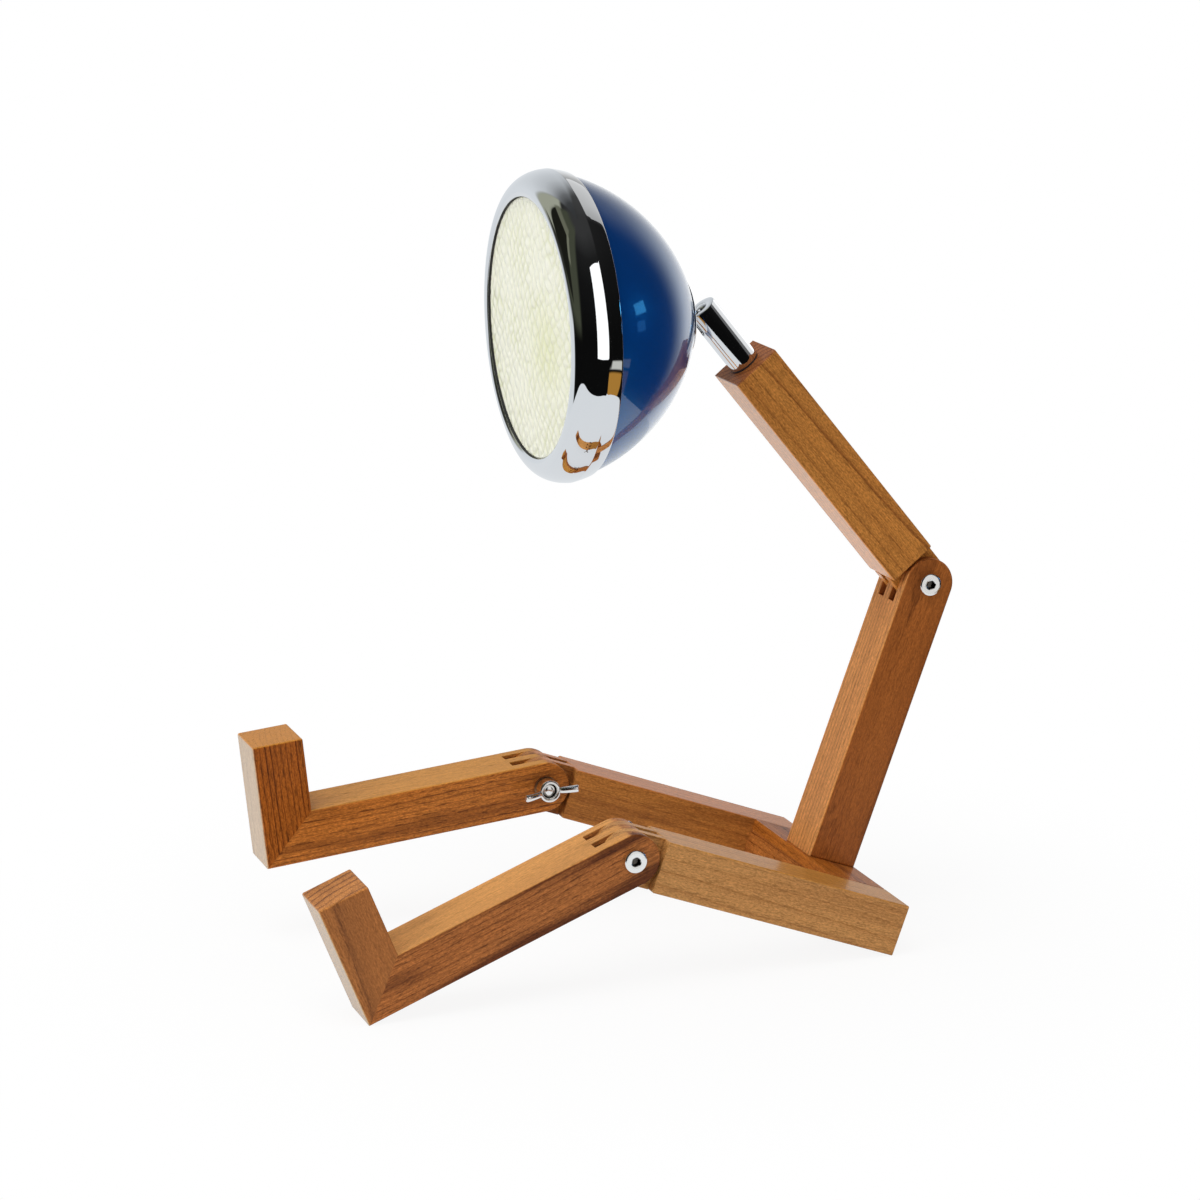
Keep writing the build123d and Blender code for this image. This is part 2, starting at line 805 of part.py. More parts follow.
with BuildPart() as lens:
    with BuildSketch(profile):
        with BuildLine():
            crown = CenterArc(
                (0, gasket_reach + lens_crown - lens_curve),
                lens_curve,
                quarter_turn,
                -degrees(asin(bezel_lip_radius / lens_curve)),
            )
            Polyline(
                crown @ 1,
                (lens_radius, gasket_reach),
                (lens_radius, lens_back),
                (0, lens_back),
                crown @ 0,
            )
        make_face()
    revolve(axis=head_axis)
finish(lens.part, "lens", (0.9, 0.9, 0.75))

reflector_rear = lens_back - reflector_depth
mouth = (reflector_mouth_radius, lens_back - reflector_wall)
throat = (reflector_neck_radius, reflector_rear)
dish_centre = bowl_centre(mouth, throat, reflector_bulge)
dish_inner = reflector_bulge - reflector_wall
inner_mouth = (radius_at(dish_centre, dish_inner, lens_back), lens_back)
inner_throat = (radius_at(dish_centre, dish_inner, reflector_rear), reflector_rear)

with BuildPart() as reflector:
    with BuildSketch(profile):
        with BuildLine():
            bowl_arc(dish_centre, reflector_bulge, mouth, throat)
            Line(throat, inner_throat)
            bowl_arc(dish_centre, dish_inner, inner_throat, inner_mouth)
            Polyline(inner_mouth, (lens_radius, lens_back), (lens_radius, mouth[1]), mouth)
        make_face()
    revolve(axis=head_axis)
finish(reflector.part, "reflector", (0.85, 0.85, 0.86))

# Spring clips press the reflector's flange forward and hook behind the bezel's crown.
clip_front = mouth[1]
clip_rise = (clip_front - bezel_crease_reach) / (crown_reach - bezel_wall)
clip_outer = bezel_front_radius + (crown_radius - bezel_wall) * sqrt(1 - clip_rise**2) - clip_gap

with BuildPart() as bezel_clips:
    for number in range(clip_count):
        turned = profile.rotated((0, 360 / clip_count * number - clip_angle / 2, 0))
        with BuildSketch(turned):
            Polygon(
                (bezel_lip_radius, clip_front),
                (clip_outer, clip_front),
                (clip_outer, clip_front - clip_leg),
                (clip_outer - clip_strip, clip_front - clip_leg),
                (clip_outer - clip_strip, clip_front - clip_strip),
                (bezel_lip_radius, clip_front - clip_strip),
                align=None,
            )
        revolve(axis=head_axis, revolution_arc=clip_angle)
finish(bezel_clips.part, "bezel_clips", steel)

# ---- lamp holder on a bracket that the stud's nut clamps to the shell ----
leg_room = holder_radius + glue_gap
leg_outside = leg_room + bracket_thickness
screw_reach = (bracket_reach + holder_reach) / 2
screw_plane = Plane(origin=reach(screw_reach).origin, x_dir=(0, 0, 1), z_dir=(1, 0, 0))

with BuildPart() as holder_bracket:
    with BuildSketch(reach(shell_inside)):
        Rectangle(2 * leg_outside, bracket_width)
    extrude(amount=bracket_reach - shell_inside)
    with BuildSketch(reach(washer_reach)):
        Rectangle(2 * leg_room, bracket_width)
    extrude(amount=bracket_reach - washer_reach, mode=Mode.SUBTRACT)
    bore(rear_view, stud_hole_radius, 0, washer_reach)
    with BuildSketch(screw_plane):
        Circle(holder_screw_radius + glue_gap)
    extrude(amount=leg_outside, both=True, mode=Mode.SUBTRACT)
finish(holder_bracket.part, "holder_bracket", steel)

with BuildPart() as stud_washer:
    ring(stud_washer_radius, stud_hole_radius, washer_reach, nut_reach)
finish(stud_washer.part, "stud_washer", steel)

with BuildPart() as stud_nut:
    with BuildSketch(reach(nut_reach)):
        RegularPolygon(nut_flats / 2, 6, major_radius=False)
        Circle(stud_hole_radius, mode=Mode.SUBTRACT)
    extrude(amount=nut_thickness)
finish(stud_nut.part, "stud_nut", steel)

holder_front = holder_reach + holder_length
pin_spots = ((-pin_pitch / 2, 0), (pin_pitch / 2, 0))
screw_tip = leg_outside - holder_screw_length

with BuildPart() as lamp_holder:
    with BuildSketch(reach(holder_reach)):
        Circle(holder_radius)
    extrude(amount=holder_length)
    with BuildSketch(reach(holder_front)):
        with Locations(*pin_spots):
            Circle(pin_radius + pin_clearance)
    extrude(amount=-pin_length - bulb_base_gap, mode=Mode.SUBTRACT)
    for side in (-1, 1):
        with BuildSketch(screw_plane.offset(side * leg_outside)):
            Circle(holder_screw_radius + glue_gap)
        extrude(amount=-side * (holder_screw_length + bulb_base_gap), mode=Mode.SUBTRACT)
finish(lamp_holder.part, "lamp_holder", (0.92, 0.91, 0.88))

with BuildPart() as holder_screws:
    for side in (-1, 1):
        with BuildSketch(screw_plane.offset(side * leg_outside)):
            Circle(holder_screw_head_radius)
        extrude(amount=side * holder_screw_head_height)
        with BuildSketch(screw_plane.offset(side * leg_outside)):
            Circle(holder_screw_radius)
        extrude(amount=-side * holder_screw_length)
finish(holder_screws.part, "holder_screws", steel)

bulb_base_reach = holder_front + bulb_base_gap
bulb_reach = bulb_base_reach + bulb_base_length

with BuildPart() as bulb_base:
    with BuildSketch(reach(bulb_base_reach)):
        Circle(bulb_base_radius)
    extrude(amount=bulb_base_length)
    fillet(bulb_base.edges().filter_by(GeomType.CIRCLE), edge_ease)
    with BuildSketch(reach(bulb_base_reach)):
        with Locations(*pin_spots):
            Circle(pin_radius)
    extrude(amount=-pin_length)
finish(bulb_base.part, "bulb_base", (0.95, 0.95, 0.93))

with BuildPart() as bulb_envelope:
    with BuildSketch(reach(bulb_reach)):
        Circle(bulb_radius)
    extrude(amount=bulb_length)
    front = bulb_envelope.faces().sort_by(Axis(ball.origin, head_way))[-1]
    fillet(front.edges(), bulb_radius - bulb_tip_radius)
finish(bulb_envelope.part, "bulb_envelope", (1.0, 0.97, 0.85))

print(f"seat tilt {seat_tilt:.2f}, arm pitch {arm_pitch:.2f}, knee {knee}, shoulder {shoulder}")
print(f"arm end {neck.origin}, neck direction {neck.z_dir}, ball {ball.origin}, outlet {outlet.origin}")
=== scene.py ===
import json
import math

import bpy
from mathutils import Matrix, Vector, noise


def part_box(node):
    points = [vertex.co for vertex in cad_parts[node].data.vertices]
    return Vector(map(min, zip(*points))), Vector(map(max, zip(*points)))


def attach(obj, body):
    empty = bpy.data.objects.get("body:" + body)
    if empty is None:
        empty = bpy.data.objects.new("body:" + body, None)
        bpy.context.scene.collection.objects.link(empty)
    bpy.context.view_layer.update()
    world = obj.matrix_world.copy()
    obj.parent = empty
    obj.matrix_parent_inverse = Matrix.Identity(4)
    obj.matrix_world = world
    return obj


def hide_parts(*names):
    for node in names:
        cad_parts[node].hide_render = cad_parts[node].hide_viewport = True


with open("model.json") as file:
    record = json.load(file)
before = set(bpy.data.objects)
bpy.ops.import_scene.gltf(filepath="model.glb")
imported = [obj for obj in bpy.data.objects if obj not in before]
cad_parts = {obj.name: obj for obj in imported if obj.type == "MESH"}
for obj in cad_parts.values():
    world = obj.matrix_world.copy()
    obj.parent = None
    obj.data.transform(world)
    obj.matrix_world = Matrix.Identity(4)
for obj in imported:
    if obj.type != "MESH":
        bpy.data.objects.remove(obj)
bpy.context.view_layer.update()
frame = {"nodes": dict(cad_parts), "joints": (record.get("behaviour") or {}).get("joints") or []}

mm = 0.001
nodes = frame["nodes"]
jointPlaces = {joint["name"]: Vector(joint["pos_m"]) for joint in frame["joints"]}
ballPlace = jointPlaces["head_tilt"]


def report(text):
    print("lamp:", text)


def boxCentre(node):
    low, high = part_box(node)
    return (low + high) / 2


# Colours and shader nodes.
def fromDisplay(red, green, blue):
    # Colour as it is seen on a screen, 0 to 255, turned to Blender's linear values.
    linear = []
    for value in (red, green, blue):
        value = value / 255
        linear.append(value / 12.92 if value <= 0.04045 else ((value + 0.055) / 1.055) ** 2.4)
    return (*linear, 1.0)


def scaled(colour, factors):
    return (*(value * factor for value, factor in zip(colour, factors)), 1.0)


def addNode(tree, kind, inputs=None, **values):
    # New shader node. An input is a number, a colour, or another node's output.
    node = tree.nodes.new("ShaderNode" + kind)
    for name, value in values.items():
        setattr(node, name, value)
    for name, value in (inputs or {}).items():
        if isinstance(value, bpy.types.NodeSocket):
            tree.links.new(value, node.inputs[name])
        else:
            node.inputs[name].default_value = value
    return node


def addMath(tree, operation, first, second=0.0, third=0.0, clamp=False):
    inputs = {0: first, 1: second, 2: third}
    return addNode(tree, "Math", inputs, operation=operation, use_clamp=clamp).outputs[0]


def multiply(tree, first, second, clamp=False):
    return addMath(tree, "MULTIPLY", first, second, clamp=clamp)


def multiplyAdd(tree, first, second, third):
    return addMath(tree, "MULTIPLY_ADD", first, second, third)


def addVector(tree, operation, first, second=(0, 0, 0)):
    return addNode(tree, "VectorMath", {0: first, 1: second}, operation=operation).outputs


def addMix(tree, factor, first, second, blend="MIX"):
    inputs = {0: factor, 6: first, 7: second}
    mix = addNode(tree, "Mix", inputs, data_type="RGBA", blend_type=blend)
    return mix.outputs[2]


def tinted(tree, colour, tint):
    return addMix(tree, 1.0, colour, tint, "MULTIPLY")


def addRamp(tree, value, stops, mode="LINEAR"):
    # Stops are pairs of place and grey or colour.
    ramp = addNode(tree, "ValToRGB", {"Fac": value})
    ramp.color_ramp.interpolation = mode
    elements = ramp.color_ramp.elements
    while len(elements) < len(stops):
        elements.new(0.5)
    for element, (place, tone) in zip(elements, stops):
        element.position = place
        element.color = tone if isinstance(tone, tuple) else (tone, tone, tone, 1.0)
    return ramp.outputs["Color"]


def addSlope(tree, value, start, end, low, high):
    # Goes smoothly from low at start to high at end.
    inputs = {"Value": value, "From Min": start, "From Max": end, "To Min": low, "To Max": high}
    slope = addNode(tree, "MapRange", inputs, interpolation_type="SMOOTHSTEP")
    return slope.outputs["Result"]


def addRise(tree, value, middle, soft, low=0.0, high=1.0):
    return addSlope(tree, value, middle - soft, middle + soft, low, high)


def addNoise(tree, vector, scale, detail=2.0, roughness=0.5, seed=None):
    inputs = {"Vector": vector, "Scale": scale, "Detail": detail, "Roughness": roughness}
    if seed is not None:
        inputs["W"] = seed
    dimensions = "3D" if seed is None else "4D"
    return addNode(tree, "TexNoise", inputs, noise_dimensions=dimensions).outputs["Fac"]


def addBump(tree, shader, height, distance, strength=1.0):
    inputs = {"Height": height, "Distance": distance, "Strength": strength}
    bump = addNode(tree, "Bump", inputs)
    tree.links.new(bump.outputs["Normal"], shader.inputs["Normal"])


def addGlow(tree, kind, colour, strength=1.0):
    return addNode(tree, kind, {"Color": colour, "Strength": strength}).outputs[0]


def mixShaders(tree, share, first, second):
    return addNode(tree, "MixShader", {0: share, 1: first, 2: second}).outputs[0]


def addRays(tree):
    # Whether the camera sees a point, and whether a piece mirrors it or lets it through.
    rays = addNode(tree, "LightPath").outputs
    mirrored = addMath(tree, "MAXIMUM", rays["Is Glossy Ray"], rays["Is Transmission Ray"])
    return rays["Is Camera Ray"], mirrored


def objectPoint(tree, origin=(0, 0, 0), turn=Matrix.Identity(3)):
    # Object coordinates in millimetres, from the origin and along the turn's axes.
    inputs = {
        "Vector": addNode(tree, "TexCoord").outputs["Object"],
        "Location": origin,
        "Rotation": turn.to_euler(),
        "Scale": (mm, mm, mm),
    }
    return addNode(tree, "Mapping", inputs, vector_type="TEXTURE").outputs[0]


def newMaterial(name, settings):
    # Material with a Principled shader. Settings are the shader's own sockets.
    material = bpy.data.materials.new(name)
    material.use_nodes = True
    tree = material.node_tree
    shader = tree.nodes["Principled BSDF"]
    for socket, value in settings.items():
        shader.inputs[socket].default_value = value
    return material, tree, shader


def paint(material, *names):
    for name in names:
        mesh = nodes[name].data
        mesh.materials.clear()
        mesh.materials.append(material)


# Steps that every modelled piece takes.
def deselectAll():
    for thing in bpy.context.selected_objects:
        thing.select_set(False)


def takeOnly(part):
    deselectAll()
    part.select_set(True)
    bpy.context.view_layer.objects.active = part


def rename(part, name):
    part.name = name
    part.data.name = name


def applyPlace():
    bpy.ops.object.transform_apply(location=True, rotation=True, scale=True)


def editAll():
    bpy.ops.object.mode_set(mode="EDIT")
    bpy.ops.mesh.select_all(action="SELECT")


def finishEdit():
    # Points every face outwards and leaves edit mode.
    bpy.ops.mesh.select_all(action="SELECT")
    bpy.ops.mesh.normals_make_consistent(inside=False)
    bpy.ops.object.mode_set(mode="OBJECT")


def clearSelection(kind):
    # Selects nothing and leaves edit mode, so that vertices or edges can be chosen one by one.
    bpy.ops.object.mode_set(mode="EDIT")
    bpy.ops.mesh.select_mode(type=kind)
    bpy.ops.mesh.select_all(action="DESELECT")
    bpy.ops.object.mode_set(mode="OBJECT")


def selectVertices(part, wanted):
    # Leaves the part in edit mode with the wanted vertices selected.
    clearSelection("VERT")
    for vertex in part.data.vertices:
        vertex.select = wanted(vertex.co / mm)
    bpy.ops.object.mode_set(mode="EDIT")


def smoothOver(part, levels):
    modifier = part.modifiers.new("smooth", "SUBSURF")
    modifier.levels = levels
    modifier.render_levels = levels
    takeOnly(part)
    bpy.ops.object.modifier_apply(modifier="smooth")
    bpy.ops.object.shade_smooth()


def smoothByAngle(part, degrees):
    takeOnly(part)
    bpy.ops.object.shade_smooth_by_angle(angle=math.radians(degrees))


def putAt(part, origin, turn):
    # Moves a part made round local Z to its place, and keeps the place in its mesh.
    part.matrix_world = Matrix.Translation(origin) @ turn.to_4x4()
    takeOnly(part)
    applyPlace()


def dress(part, material, body, node):
    part.data.materials.clear()
    part.data.materials.append(material)
    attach(part, body)
    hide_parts(node)


# Camera. Angles are in degrees, and the place in metres.
cameraSettings = {
    "place": (1.3941, -0.4926, 0.5006),
    "azimuth": 70.734,
    "elevation": 13.697,
    "roll": -0.990,
    "lens": 114.63,
    "sensor": 36.0,
    "clip": (0.05, 20),
}


def makeCamera(settings):
    camera = bpy.data.cameras.new("mainCamera")
    camera.lens = settings["lens"]
    camera.sensor_fit = "HORIZONTAL"
    camera.sensor_width = settings["sensor"]
    camera.clip_start, camera.clip_end = settings["clip"]
    body = bpy.data.objects.new("mainCamera", camera)
    bpy.context.scene.collection.objects.link(body)
    turn = Matrix.Rotation(math.radians(settings["azimuth"]), 4, "Z")
    turn = turn @ Matrix.Rotation(math.radians(90 - settings["elevation"]), 4, "X")
    turn = turn @ Matrix.Rotation(math.radians(settings["roll"]), 4, "Z")
    body.matrix_world = Matrix.Translation(settings["place"]) @ turn
    bpy.context.scene.camera = body


# What metal, enamel and varnish mirror. Azimuth is in degrees from +X towards the front, and
# height in degrees above the horizon. A wall runs from its edge's azimuth to the next one's.
worldSettings = {
    "fill": (0.84, 0.83, 0.82, 1.0),
    "fillStrength": 0.52,
    "darkSide": (  # the room in front of and beside the lamp, from the horizon up
        (0.0, 0.004), (0.40, 0.008), (0.62, 0.014), (0.70, 0.024), (0.83, 0.040), (1.0, 0.042),
    ),
    "backdrop": (
        (0.0, 0.80), (0.22, 0.73), (0.44, 0.60), (0.555, 0.45), (0.61, 0.35), (0.70, 0.17),
        (0.81, 0.058), (0.90, 0.044), (1.0, 0.042),
    ),
    "backdropTone": (0.96, 1.0, 1.04, 1.0),
    "leftWall": (  # from straight down to straight up
        (0.0, 0.95), (0.34, 1.15), (0.44, 1.15), (0.50, 1.05), (0.56, 0.78), (0.62, 0.50),
        (0.67, 0.30), (0.75, 0.20), (0.85, 0.06), (1.0, 0.035),
    ),
    "wallEdges": ((-158, 6), (-112, 14), (148, 6)),  # azimuth and softness of each wall's start
    "patches": {  # azimuth, height, softness of the edges, tone
        "farTable": ((114, 156), (-90, -3), 3.0, (0.77, 0.80, 0.83)),
        "frontWall": ((130, 150), (3, 62), 3.0, (0.38, 0.39, 0.31)),
        "sideWall": ((62, 130), (0, 75), 6.0, (0.062, 0.068, 0.046)),
        "lintel": ((88, 134), (48, 60), 3.0, (0.15, 0.155, 0.11)),
        "doorFrame": ((86, 94), (29, 52), 2.0, (0.19, 0.195, 0.14)),
        "frontDoor": ((94, 131), (7, 49), 1.2, (0.012, 0.012, 0.009)),
        "lowDoor": ((122, 143), (2, 11), 2.0, (0.03, 0.03, 0.025)),
        "upperWindow": ((-76, -66.5), (6.5, 12.5), 0.7, (0.28, 1.75, 3.5)),
        "lowerWindow": ((-73, -66), (-2.5, 3), 0.8, (0.088, 0.44, 1.1)),
        "deskEdge": ((-61, -43), (-21.5, -16.5), 0.7, (0.60, 0.60, 0.56)),
        "deskFront": ((-61, -43), (-40, -23.5), 1.0, (0.45, 0.22, 0.04)),
    },
}


def addPatch(tree, room, azimuth, height, patch):
    # Lays one lit or dark patch over the room so far.
    *edges, soft, tone = patch
    mask = 1.0
    for value, (start, end) in zip((azimuth, height), edges):
        rise = addRise(tree, value, start, soft)
        fall = addRise(tree, value, end, soft, 1.0, 0.0)
        mask = multiply(tree, multiply(tree, rise, fall), mask)
    return addMix(tree, mask, room, (*tone, 1.0))


def makeWorld(settings):
    world = bpy.data.worlds.new("studio")
    bpy.context.scene.world = world
    world.use_nodes = True
    tree = world.node_tree
    tree.nodes.clear()
    way = addNode(tree, "TexCoord").outputs["Generated"]
    parts = addNode(tree, "SeparateXYZ", {0: way}).outputs
    forward = multiply(tree, parts["Y"], -1.0)
    azimuth = addMath(tree, "DEGREES", addMath(tree, "ARCTAN2", forward, parts["X"]))
    height = addMath(tree, "DEGREES", addMath(tree, "ARCSINE", parts["Z"]))
    level = addMath(tree, "DIVIDE", height, 90.0, clamp=True)
    whole = multiplyAdd(tree, height, 1 / 180, 0.5)
    behind = tinted(tree, addRamp(tree, level, settings["backdrop"]), settings["backdropTone"])
    left = addRamp(tree, whole, settings["leftWall"])
    dark = addRamp(tree, level, settings["darkSide"])
    room = behind
    for wall, (edge, soft) in zip((left, dark, behind), settings["wallEdges"]):
        room = addMix(tree, addRise(tree, azimuth, edge, soft), room, wall)
    for patch in settings["patches"].values():
        room = addPatch(tree, room, azimuth, height, patch)
    camera, mirrored = addRays(tree)
    plain = addGlow(tree, "Background", settings["fill"], settings["fillStrength"])
    seen = addGlow(tree, "Background", room)
    white = addGlow(tree, "Background", (1, 1, 1, 1))
    shown = mixShaders(tree, camera, mixShaders(tree, mirrored, plain, seen), white)
    addNode(tree, "OutputWorld", {"Surface": shown})


# Lights. Places and sizes are in metres.
softboxes = {
    "topLight": {"place": (0.25, -0.45, 1.55), "size": (1.3, 1.0), "power": 12.5},
    "frontLight": {"place": (0.35, -1.55, 0.75), "size": (0.9, 0.9), "power": 9.5},
    "sideLight": {"place": (1.7, 0.35, 0.75), "size": (0.5, 0.9), "power": 2.8},
}
softboxAim = Vector((0, 0, 0.14))


def addLight(name, size, power, place, way):
    # Rectangular light that shines along way.
    light = bpy.data.lights.new(name, "AREA")
    light.shape = "RECTANGLE"
    light.size, light.size_y = size
    light.energy = power
    body = bpy.data.objects.new(name, light)
    bpy.context.scene.collection.objects.link(body)
    body.location = place
    body.rotation_mode = "QUATERNION"
    body.rotation_quaternion = way.to_track_quat("-Z", "Y")
    return body


def makeSoftbox(name, settings):
    place = Vector(settings["place"])
    box = addLight(name, settings["size"], settings["power"], place, softboxAim - place)
    box.visible_glossy = False  # the world's patches are what shines


def spare(light, piece):
    # Keeps one softbox off one piece.
    spared = bpy.data.collections.new(light + "Spared")
    spared.objects.link(bpy.data.objects[piece])
    spared.collection_objects[0].light_linking.link_state = "EXCLUDE"
    bpy.data.objects[light].light_linking.receiver_collection = spared


stripDistance = 3.0  # from the head's ball, in m


def makeStrip(name, azimuth, heights, brightness, pieces):
    # A lit window that only the named pieces mirror.
    first, last = (math.radians(edge) for edge in azimuth)
    low, high = (stripDistance * math.tan(math.radians(edge)) for edge in heights)
    width, height = 2 * stripDistance * math.tan((last - first) / 2), high - low
    power = brightness * math.pi * width * height
    turn = (first + last) / 2
    way = Vector((math.cos(turn), -math.sin(turn), 0))
    place = ballPlace + way * stripDistance + Vector((0, 0, (low + high) / 2))
    strip = addLight(name, (width, height), power, place, -way)
    strip.visible_camera = False
    strip.visible_diffuse = False
    strip.visible_transmission = False
    mirrors = bpy.data.collections.new(name + "Mirrors")
    for piece in pieces:
        mirrors.objects.link(bpy.data.objects[piece])
    strip.light_linking.receiver_collection = mirrors


floorSettings = {
    "low": (-1.6, -0.50),
    "high": (0.31, 0.28),
    "corner": 0.2,
    "tone": (0.90, 0.90, 0.90, 1.0),
    "near": 0.10,  # the lamp's soft shadow is full up to here, in m, and gone at far
    "far": 0.29,
    "glow": 0.90,  # the rest is lit, and keeps the shadow
    "mirrored": (0.80, 0.825, 0.85, 1.0),
}


def makeFloor(settings):
    low, high = settings["low"], settings["high"]
    middle = ((low[0] + high[0]) / 2, (low[1] + high[1]) / 2, 0)
    deselectAll()
    bpy.ops.mesh.primitive_plane_add(size=1, location=middle)
    floor = bpy.context.object
    floor.name = "floor"
    floor.dimensions = (high[0] - low[0], high[1] - low[1], 0)
    applyPlace()
    editAll()
    bpy.ops.mesh.bevel(offset=settings["corner"], segments=16, affect="VERTICES")
    bpy.ops.object.mode_set(mode="OBJECT")
    look = {"Base Color": settings["tone"], "Roughness": 0.9}
    material, tree, shader = newMaterial("floorWhite", look)
    point = addNode(tree, "TexCoord").outputs["Object"]
    away = addVector(tree, "LENGTH", point)["Value"]
    share = addSlope(tree, away, settings["near"], settings["far"], settings["glow"], 1.0)
    camera, mirrored = addRays(tree)
    seen = addMath(tree, "MAXIMUM", camera, mirrored)
    tone = addMix(tree, mirrored, (1, 1, 1, 1), settings["mirrored"])
    glow = addGlow(tree, "Emission", tone)
    mixed = mixShaders(tree, multiply(tree, seen, share), shader.outputs[0], glow)
    tree.links.new(mixed, tree.nodes["Material Output"].inputs["Surface"])
    floor.data.materials.append(material)


# Wood.
woodFinish = {
    "Roughness": 0.6,
    "Specular IOR Level": 0.05,
    "Coat Weight": 0.2,
    "Coat Roughness": 0.24,
}

# pith: how far the tree's middle lies from the beam's middle, across and in depth, in mm.
# lean: how the tree's middle leans to the beam, in degrees. ring: width of a year's ring, in mm.
# lines, streaks and bands: how strong the rings' edges, the pores and the broad darker bands are.
# faces: how a face differs, as its axis and side, tint, gloss and how calm its grain is.
# A face's tint is painted light and shade: lighter tops and fronts, darker near sides, and a
# painted pale sheen on the soles and the arm's underside.
woodPieces = {
    "left_thigh": {
        "pith": (34, 26), "lean": (1.2, 2.6), "ring": 3.4, "seed": 1.0,
        "pale": (196, 144, 84), "deep": (146, 92, 44), "lines": 0.8, "streaks": 0.5, "bands": 0.35,
        "faces": (
            ("X", 1, (0.99, 0.97, 1.0), 0.2, 0.3),
            ("Y", -1, (1.03, 0.92, 0.60), 0.35, 0.4),
        ),
    },
    "right_thigh": {
        "pith": (-30, 30), "lean": (0.8, -1.6), "ring": 3.0, "seed": 2.0,
        "pale": (182, 122, 62), "deep": (128, 74, 34), "lines": 0.8, "streaks": 0.5, "bands": 0.6,
        "faces": (
            ("X", 1, (1.08, 1.03, 0.92), 0.2, 0.3),
            ("Y", -1, (1.35, 1.1, 0.9), 0.4, 0.6),
        ),
    },
    "seat_block": {
        "pith": (20, 40), "lean": (1.0, 1.0), "ring": 3.0, "seed": 3.0,
        "pale": (178, 108, 50), "deep": (126, 66, 26), "lines": 0.8, "streaks": 0.7, "bands": 0.5,
        "faces": (("Y", 1, (1.04, 0.96, 0.66), 0.2, 0.2),),
    },
    "torso": {
        "pith": (78, 6), "lean": (0.5, 0.3), "ring": 2.7, "seed": 4.0,
        "pale": (176, 106, 52), "deep": (104, 54, 24), "lines": 2.0, "streaks": 0.7, "bands": 0.2,
        "faces": (
            ("X", 1, (0.90, 0.83, 0.68), 0.2, 0.5),
            ("Y", 1, (1.62, 2.1, 2.6), 0.2, 0.45),
        ),
    },
    "arm": {
        "pith": (-40, 34), "lean": (0.9, 0.9), "ring": 3.2, "seed": 5.0,
        "pale": (196, 132, 60), "deep": (138, 82, 34), "lines": 1.3, "streaks": 0.5, "bands": 0.2,
        "faces": (
            ("X", 1, (1.01, 0.98, 1.04), 0.2, 0.15),
            ("Y", -1, (1.8, 1.8, 1.8), 1.0, 0.6),
            ("Z", 120, (0.70, 0.58, 0.9), 0.2, 0.0),
        ),
    },
    "left_shin": {
        "pith": (16, -58), "lean": (0.4, 0.8), "ring": 2.2, "seed": 6.0,
        "pale": (186, 122, 66), "deep": (100, 55, 30), "lines": 0.8, "streaks": 0.7, "bands": 0.85,
        "faces": (
            ("X", 1, (0.88, 0.78, 0.72), 0.2, 0.0),
            ("Y", 1, (1.30, 1.52, 1.48), 0.2, 0.8),
        ),
    },
    "left_foot": {
        "pith": (60, 8), "lean": (0.5, 0.6), "ring": 4.6, "seed": 7.0,
        "pale": (172, 106, 54), "deep": (100, 54, 28), "lines": 1.4, "streaks": 0.6, "bands": 0.25,
        "faces": (
            ("X", 1, (0.97, 1.03, 1.10), 0.2, 0.4),
            ("Y", -1, (1.3, 2.2, 3.2), 1.0, 0.8),
            ("Z", 40, (1.32, 1.52, 1.45), 0.3, 0.0),
        ),
    },
    "right_shin": {
        "pith": (14, -50), "lean": (0.3, 1.0), "ring": 2.4, "seed": 8.0,
        "pale": (190, 120, 56), "deep": (108, 58, 26), "lines": 0.9, "streaks": 0.8, "bands": 0.5,
        "faces": (
            ("X", 1, (1.08, 1.0, 0.85), 0.2, 0.0),
            ("Y", 1, (1.15, 1.42, 1.35), 0.2, 0.8),
        ),
    },
    "right_foot": {
        "pith": (10, 46), "lean": (0.5, 0.5), "ring": 2.2, "seed": 9.0,
        "pale": (184, 108, 46), "deep": (92, 45, 19), "lines": 1.35, "streaks": 0.8, "bands": 0.35,
        "faces": (
            ("X", 1, (0.84, 0.75, 0.52), 0.2, 0.0),
            ("Y", -1, (1.2, 2.55, 7.6), 1.0, 0.9),
            ("Z", 40, (1.15, 1.5, 1.25), 0.3, 0.8),
        ),
    },
}

